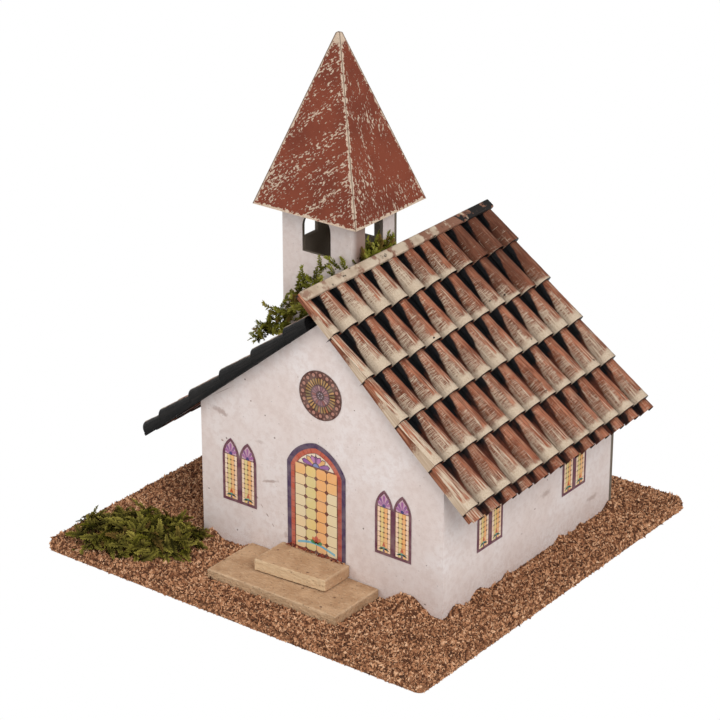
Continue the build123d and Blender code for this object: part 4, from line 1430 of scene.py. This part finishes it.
class Sheet:
    """Flat coloured shapes on one wall, in millimetres along the wall and up."""

    def __init__(self, name, node, side):
        self.name, self.node, self.side = name, node, side
        self.points, self.faces, self.colours = [], [], []
        self.low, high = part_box(node)
        self.middle = (self.low + high) / 2
        size = (high - self.low) / MM
        self.wide = size.x if side in ("front", "back") else size.y
        self.tall = size.z

    def place(self, u, v, layer):
        lift = PAPER_LIFT + INK * layer
        z = self.low.z + v * MM
        if self.side == "front":
            return (self.middle.x + u * MM, FRONT_Y - lift, z)
        if self.side == "back":
            return (self.middle.x - u * MM, BACK_Y + lift, z)
        if self.side == "right":
            return (RIGHT_X + lift, self.middle.y + u * MM, z)
        return (LEFT_X - lift, self.middle.y - u * MM, z)

    def shape(self, outline, colour, layer):
        start = len(self.points)
        self.points += [self.place(u, v, layer) for u, v in outline]
        self.faces.append(tuple(range(start, len(self.points))))
        self.colours.append(colour)

    def finish(self, material):
        mesh = bpy.data.meshes.new(self.name)
        mesh.from_pydata(self.points, [], self.faces)
        ink = mesh.color_attributes.new("ink", "FLOAT_COLOR", "CORNER")
        for face, colour in zip(mesh.polygons, self.colours):
            for corner in face.loop_indices:
                ink.data[corner].color = colour
        mesh.materials.append(material)
        obj = link(bpy.data.objects.new(self.name, mesh))
        return settle(obj, "print_paper", self.node)


def paper_material():
    made, tree, shader, place = new_material("printed_paper")
    ink = put(tree, "ShaderNodeVertexColor", layer_name="ink").outputs[0]
    grain = clouds(tree, place["Object"], 240.0)
    faded = blend(tree, times(tree, grain["Cloud"], 0.14), ink, rgb(226, 206, 190))
    colour = blend(tree, times(tree, grain["Grain"], 0.12), faded, rgb(120, 80, 60))
    finish_material(tree, shader, colour, 0.75, grain["Grain"], 0.08 * MM)
    return made


paper = paper_material()
print("paper and ink ready")

# %% [markdown]
# ## Outlines for the prints
# Stained glass is drawn with few forms: pointed arches one inside another, panes, petals and discs.
# An arch's side is an arc through three points. Its inner lines keep the same distance all along,
# so they are moved inwards point by point instead of being scaled.

# %% Outlines


def arc_through(a, b, c, count):
    """Points on the circle through three points, from a to c."""
    ax, ay, bx, by, cx, cy = *a, *b, *c
    d = 2 * (ax * (by - cy) + bx * (cy - ay) + cx * (ay - by))
    ux = ((ax**2 + ay**2) * (by - cy) + (bx**2 + by**2) * (cy - ay) + (cx**2 + cy**2) * (ay - by)) / d
    uy = ((ax**2 + ay**2) * (cx - bx) + (bx**2 + by**2) * (ax - cx) + (cx**2 + cy**2) * (bx - ax)) / d
    radius = math.hypot(ax - ux, ay - uy)
    first, last = math.atan2(ay - uy, ax - ux), math.atan2(cy - uy, cx - ux)
    angles = [first + (last - first) * k / count for k in range(count + 1)]
    return [(ux + radius * math.cos(t), uy + radius * math.sin(t)) for t in angles]


def arch(width, height, rise, mid_shares, count=12):
    """The curve of a pointed arch, from its right springing over the crown to its left one."""
    half, spring = width / 2, height - rise
    mid = (half * mid_shares[0], spring + rise * mid_shares[1])
    right = arc_through((half, spring), mid, (0, height), count)
    return right + [(-u, v) for u, v in reversed(right[:-1])]


def closed(curve, foot):
    return [(curve[-1][0], foot), (curve[0][0], foot), *curve]


def moved_in(curve, by):
    """The right half of an arch's curve, each point moved inwards."""
    right = curve[: len(curve) // 2 + 1]
    made = []
    for k, (u, v) in enumerate(right):
        before, after = right[max(k - 1, 0)], right[min(k + 1, len(right) - 1)]
        du, dv = after[0] - before[0], after[1] - before[1]
        share = by / math.hypot(du, dv)
        made.append((u - dv * share, v + du * share))
    return made


def inset(curve, by):
    """The arch's curve moved inwards by the same amount all along, so that its two sides meet lower."""
    kept = [point for point in moved_in(curve, by) if point[0] > 0.01]
    (u0, v0), (u1, v1) = kept[-2:]
    crown = (0.0, v1 - u1 * (v1 - v0) / (u1 - u0))
    return kept + [crown] + [(-u, v) for u, v in reversed(kept)]


def above(outline, level):
    """The part of an arch's outline over a level line."""
    points = [point for point in outline if point[1] > level]
    return [(points[-1][0], level), (points[0][0], level), *points]


def box(u0, u1, v0, v1):
    return [(u0, v0), (u1, v0), (u1, v1), (u0, v1)]


def shifted(outline, by):
    return [(u + by, v) for u, v in outline]


def turned(outline, middle, angle):
    """An outline drawn along U, swung round a middle point."""
    c, s = math.cos(angle), math.sin(angle)
    return [(middle[0] + u * c - v * s, middle[1] + u * s + v * c) for u, v in outline]


def pane(u0, u1, v0, v1, left=0.0, right=0.0):
    """A pane whose left or right corners are cut off where they meet a knot of lead."""
    lower = [(u0 + left, v0), (u1 - right, v0), (u1, v0 + right)]
    upper = [(u1, v1 - right), (u1 - right, v1), (u0 + left, v1), (u0, v1 - left), (u0, v0 + left)]
    return list(dict.fromkeys(lower + upper))


def petal(foot, reach, wide):
    return [(foot, -wide * 0.4), (reach - wide, -wide), (reach, 0), (reach - wide, wide), (foot, wide * 0.4)]


def disc(u, v, radius, count=24):
    angles = [2 * math.pi * k / count for k in range(count)]
    return [(u + radius * math.cos(t), v + radius * math.sin(t)) for t in angles]


def half_disc(v, radius):
    return [point for point in disc(0, v, radius) if point[1] >= v - 0.01]


print("outlines ready")

# %% [markdown]
# ## The lancet windows
# A pair of narrow pointed lights shares its middle post.
# Each has a maroon frame and a mauve head with petals over a dark bar.
# Below are four columns of amber panes, with a dark knot where the leads cross and a small leaf at the foot.
# Drawn one by one they would differ in form, so one function draws all sixteen. Only a pane's tone is chance.

# %% Lancet pairs
CREAM, STRAW = [rgb(232, 212, 170), rgb(236, 206, 158)], [rgb(224, 204, 140), rgb(230, 200, 128)]
ORANGE = [rgb(238, 184, 122), rgb(238, 174, 108)]
ROSY = [rgb(242, 216, 190), rgb(240, 204, 172)]
LANCET_SHARES = (0.735, 0.56)
UP = math.pi / 2


def lancet_head(lay, bar):
    """Five petals with a pale vein each, fanned out over the bar."""
    hub = (0, bar + 0.2)
    for k in range(-2, 3):
        swing = UP - k * 0.5
        tone = rgb(136, 78, 140) if k % 2 else rgb(158, 92, 150)
        lay(turned(petal(0.6, 5.4 - abs(k) * 0.8, 0.62), hub, swing), tone, 3)
        vein = [(1.2, -0.09), (4.4 - abs(k) * 0.7, 0), (1.2, 0.09)]
        lay(turned(vein, hub, swing), rgb(214, 170, 190), 4)
    lay(disc(0, bar + 0.8, 0.8, 10), rgb(66, 64, 116), 5)


def lancet_glass(lay, half, foot, bar, chance):
    rows, lead, knot = 9, 0.09, 0.42
    tall = (bar - foot) / rows
    columns = [-half, -half * 0.56, 0.0, half * 0.56, half]
    lay(box(-half, half, foot, bar), rgb(166, 112, 78), 2)
    for row in range(rows):
        v0 = foot + row * tall
        for u0, u1, tones in zip(columns, columns[1:], (ROSY, STRAW, ORANGE, ROSY)):
            tone = chance.choice(tones)
            lay(pane(u0 + lead, u1 - lead, v0 + lead, v0 + tall - lead), tone, 3)
        if row > 2:
            for u in columns[1:4]:
                lay(disc(u, v0, knot, 8), rgb(84, 52, 34), 4)
    wing = [(0, 2.7), (1.4, 3.5), (2.9, 2.2), (1.5, 2.6), (0, 3.9)]
    lay([(-u, v) for u, v in wing], rgb(84, 160, 142), 5)
    lay(wing[::-1], rgb(74, 142, 132), 5)
    lay([(-0.9, 4.0), (0.9, 4.0), (0, 6.4)], rgb(192, 84, 52), 6)
    lay([(-0.6, 1.5), (0.6, 1.5), (0, 3.2)], rgb(88, 62, 116), 6)


def lancet_light(sheet, middle, width, height, chance):
    frame_wide, head_in, glass_in = 1.05, 1.25, 1.3
    curve = arch(width, height, width, LANCET_SHARES)
    bar = height - width + glass_in

    def lay(points, colour, layer):
        sheet.shape(shifted(points, middle), colour, layer)

    lay(closed(curve, 0), rgb(100, 52, 72), 0)
    lay(closed(inset(curve, frame_wide), frame_wide), rgb(62, 36, 48), 1)
    lay(above(inset(curve, head_in), bar + 0.3), rgb(198, 160, 176), 2)
    lancet_head(lay, bar)
    lancet_glass(lay, width / 2 - glass_in, glass_in, bar, chance)


def lancet_pair(name, node, side, seed):
    chance = random.Random(seed)
    sheet = Sheet(name, node, side)
    for sign in (-0.5, 0.5):
        lancet_light(sheet, sign * sheet.wide / 2, sheet.wide / 2, sheet.tall, chance)
    return sheet.finish(paper)


window_places = ("front_left", "front_right", "right_front", "right_rear", "left_front", "left_rear")
for number, where in enumerate(window_places + ("back_left", "back_right")):
    lancet_pair(f"lancets_{where}", f"window_print_{where}", where.split("_")[0], 60 + number)

# %% [markdown]
# ## The door
# The door has an indigo outline, a band of red bricks and a leaded window of four columns.
# A knot of lead sits where panes meet: each pane's inner corners are cut off, and the dark field shows.
# Over the bar is a fan of petals, and a scroll with a flower runs along the foot.
# A brick texture would run straight through the arch, so each joint is drawn from the band's outer curve
# to its inner one.

# %% Door print
DOOR_SHARES, DOOR_RISE_SHARE = (0.714, 0.545), 0.387
FRAME_SHARE, BRICK_SHARE = 0.15, 0.285


def door_glass(sheet, half, bar, chance):
    rows, foot, lead, cut = 8, 0.3, 0.14, 0.95
    wide, tall = half / 2, (bar - foot) / rows
    for row in range(rows):
        for column, tones in enumerate((CREAM, STRAW, ORANGE, CREAM)):
            other = chance.random() < 0.08
            tone = chance.choice((ORANGE if tones is CREAM else CREAM) if other else tones)
            u0, v0 = -half + column * wide, foot + row * tall
            corners = (cut if column else 0.0, cut if column < 3 else 0.0)
            sheet.shape(pane(u0 + lead, u0 + wide - lead, v0 + lead, v0 + tall - lead, *corners), tone, 4)


def door_scroll(sheet, half, chance):
    """A blue ribbon in a wave, with a flower between two leaves in its middle."""
    thick, heart = 1.1, (0, 4.2)
    wave = [((-0.9 + 0.18 * k) * half, 2.0 + 1.7 * math.cos(0.36 * (k - 4.4))) for k in range(11)]
    for (u0, v0), (u1, v1) in zip(wave, wave[1:]):
        band = [(u0, v0), (u1, v1), (u1, v1 + thick), (u0, v0 + thick)]
        sheet.shape(band, chance.choice((rgb(116, 184, 204), rgb(104, 172, 196))), 5)
    tones = (rgb(186, 66, 46), rgb(204, 108, 60), rgb(66, 132, 78))
    for k in range(-2, 3):
        outline = turned(petal(0.3, 4.0 - abs(k) * 0.3, 0.9), heart, UP - k * 0.62)
        sheet.shape(outline, tones[abs(k)], 6)


def door_fan(sheet, field, bar):
    top, reach = max(v for _, v in field), field[1][0]
    tones = (rgb(142, 84, 156), rgb(186, 116, 170), rgb(226, 172, 112))
    sheet.shape(field, rgb(234, 214, 190), 4)
    for k in range(7):
        angle = math.pi * (k + 0.5) / 7
        length = 0.86 / math.hypot(math.cos(angle) / reach, math.sin(angle) / (top - bar))
        sheet.shape(turned(petal(1.2, length, 1.25), (0, bar), angle), rgb(70, 42, 66), 5)
        sheet.shape(turned(petal(1.5, length - 0.5, 0.95), (0, bar), angle), tones[abs(k - 3) % 3], 6)
    sheet.shape(box(-0.2, 0.2, bar, top), rgb(62, 38, 52), 7)
    sheet.shape(half_disc(bar, 2.0), rgb(58, 42, 70), 8)
    sheet.shape(half_disc(bar, 1.5), rgb(108, 126, 182), 9)


def door_bricks(sheet, curve, half, spring, outer_in, inner_in):
    """Joints between bricks round the arch and up both sides, over a darker right side."""
    arch_joint, side_joint, side_bricks = 0.12, 0.22, 14
    pairs = list(zip(moved_in(curve, outer_in), moved_in(curve, inner_in)))
    for (u0, v0), (u1, v1) in pairs[1::2]:
        for sign in (-1, 1):
            a, b = sign * u0, sign * u1
            joint = [(a - arch_joint, v0), (b - arch_joint, v1), (b + arch_joint, v1), (a + arch_joint, v0)]
            if u1 > 0.4:
                sheet.shape(joint, rgb(142, 60, 48), 2)
    sheet.shape(box(half - inner_in, half - outer_in, 0, spring), rgb(166, 68, 54), 2)
    for k in range(side_bricks):
        v = spring * (k + 0.5) / side_bricks
        for u0, u1 in ((outer_in - half, inner_in - half), (half - inner_in, half - outer_in)):
            sheet.shape(box(u0, u1, v, v + side_joint), rgb(138, 56, 46), 3)


def door(seed):
    chance = random.Random(seed)
    sheet = Sheet("door_paper", "door_print", "front")
    half, rise = sheet.wide / 2, DOOR_RISE_SHARE * sheet.wide
    spring = sheet.tall - rise
    curve = arch(sheet.wide, sheet.tall, rise, DOOR_SHARES, 16)
    frame_wide, brick_wide = FRAME_SHARE * half, BRICK_SHARE * half
    sheet.shape(closed(curve, 0), rgb(66, 48, 82), 0)
    sheet.shape(closed(inset(curve, frame_wide), 0), rgb(188, 86, 64), 1)
    door_bricks(sheet, curve, half, spring, frame_wide, brick_wide)
    sheet.shape(closed(inset(curve, brick_wide), 0), rgb(108, 58, 46), 3)
    bar, bar_thick = spring + 0.6, 0.5
    door_fan(sheet, above(inset(curve, brick_wide + 0.2), bar + bar_thick), bar + bar_thick)
    door_glass(sheet, half - brick_wide, bar, chance)
    door_scroll(sheet, half - brick_wide, chance)
    return sheet.finish(paper)


door(77)

# %% [markdown]
# ## The rose
# The rose window is built ring by ring from the outside in: rim, beads, long petals, short petals and a hub.
# Each piece could be placed by hand, but every ring repeats one form, so a loop goes round the circle.
# Sizes are shares of the rose's radius, so the print follows the CAD's paper.

# %% Rose print


def rose():
    sheet = Sheet("rose_paper", "rose_window_print", "front")
    chance = random.Random(31)
    size = sheet.tall / 2

    def ring(reach, angle, radius, tone, layer, count=12):
        spot = (reach * math.cos(angle) * size, size + reach * math.sin(angle) * size)
        sheet.shape(disc(*spot, radius * size, count), tone, layer)

    def petals(count, shares, tones, layer):
        outline = [(u * size, v * size) for u, v in petal(*shares)]
        for k in range(count):
            sheet.shape(turned(outline, (0, size), 2 * math.pi * k / count), chance.choice(tones), layer)

    ring(0, 0, 1.0, rgb(76, 42, 38), 0, 48)
    ring(0, 0, 0.95, rgb(96, 54, 47), 1, 48)
    beads = 16
    for k in range(beads):
        angle = 2 * math.pi * k / beads
        ring(0.83, angle, 0.125, rgb(70, 38, 36), 2)
        ring(0.83, angle, 0.075, rgb(172, 120, 104), 3)
        ring(0.92, angle + math.pi / beads, 0.045, rgb(148, 108, 98), 3, 8)
    ring(0, 0, 0.71, rgb(70, 44, 32), 4, 40)
    ambers = (rgb(186, 142, 86), rgb(158, 122, 70), rgb(168, 104, 70), rgb(128, 110, 72))
    petals(30, (0.45, 0.71, 0.042), ambers, 5)
    ring(0, 0, 0.44, rgb(84, 54, 66), 6, 32)
    mauves = (rgb(158, 114, 116), rgb(134, 92, 104), rgb(170, 134, 132), rgb(142, 84, 80))
    petals(18, (0.2, 0.41, 0.05), mauves, 7)
    ring(0, 0, 0.18, rgb(60, 40, 46), 8, 20)
    for k in range(7):
        ring(0.1, 2 * math.pi * k / 7, 0.03, rgb(150, 132, 146), 9, 8)
    return sheet.finish(paper)


rose()

# %% [markdown]
# ## Floor, light and camera
# The object stands on a plain white floor. The floor and the sky look pure white to the camera,
# and light the object like a photo tent. Light Path tells a camera's ray from a bounced one.
# One large soft lamp stands beside the camera and a weaker one on the other side.
# The camera's place and lens were worked out from the picture's own edges.

# %% Stage and camera
FLOOR_RANGE = (-4, 4)
TENT_LIGHT = 0.55
AIM = (0, 0, 0.08)
CAMERA_PLACE = (0.63013, -0.84107, 0.55284)
CAMERA_DOWN, CAMERA_TURN = 24.11, 37.21
floor_mesh = flat_mesh("floor", FLOOR_RANGE, FLOOR_RANGE, 0)
floor = link(bpy.data.objects.new("floor", floor_mesh))
made, tree, shader, place = new_material("white_floor")
shader.inputs["Roughness"].default_value = 1.0
shader.inputs["Specular IOR Level"].default_value = 0.0
tone = noise(tree, place["Object"], 3.0)
tree.links.new(blend(tree, tone, (0.8, 0.8, 0.8, 1), (0.82, 0.82, 0.82, 1)), shader.inputs["Base Color"])
path = put(tree, "ShaderNodeLightPath").outputs
seen = plus(tree, path["Is Camera Ray"], path["Is Glossy Ray"])
seen = calc(tree, "ADD", seen, path["Is Transmission Ray"], clamp=True)
glow = put(tree, "ShaderNodeEmission", {"Color": (1, 1, 1, 1), "Strength": 1.0})
both = put(tree, "ShaderNodeMixShader", {0: seen, 1: shader.outputs[0], 2: glow.outputs[0]})
tree.links.new(both.outputs[0], tree.nodes["Material Output"].inputs[0])
floor_mesh.materials.append(made)

world = bpy.data.worlds.new("tent")
scene.world = world
world.use_nodes = True
tree = world.node_tree
path = put(tree, "ShaderNodeLightPath").outputs
values = {0: path["Is Camera Ray"], 1: 0.0, 2: 1.0, 3: TENT_LIGHT, 4: 1.0}
strength = put(tree, "ShaderNodeMapRange", values).outputs[0]
tree.links.new(strength, tree.nodes["Background"].inputs["Strength"])
tree.nodes["Background"].inputs["Color"].default_value = (1, 1, 1, 1)


def lamp(name, place, size, power):
    data = bpy.data.lights.new(name, "AREA")
    data.shape, data.size, data.energy = "DISK", size, power
    obj = link(bpy.data.objects.new(name, data))
    obj.location = place
    obj.rotation_euler = (Vector(AIM) - Vector(place)).to_track_quat("-Z", "Y").to_euler()
    return obj


lamp("key", (1.0, -0.62, 1.05), 0.8, 14.0)
lamp("fill", (-0.7, -1.2, 0.8), 0.9, 4.5)

camera = link(bpy.data.objects.new("camera", bpy.data.cameras.new("camera")))
camera.location = CAMERA_PLACE
camera.rotation_euler = (math.radians(90 - CAMERA_DOWN), 0, math.radians(CAMERA_TURN))
camera.data.sensor_width, camera.data.lens = 36.0, 133.65
camera.data.shift_x, camera.data.shift_y = 0.0059, -0.0025
camera.data.clip_start, camera.data.clip_end = 0.05, 20.0
scene.camera = camera
scene.view_settings.view_transform = "Standard"
print("stage, lamps and camera set")
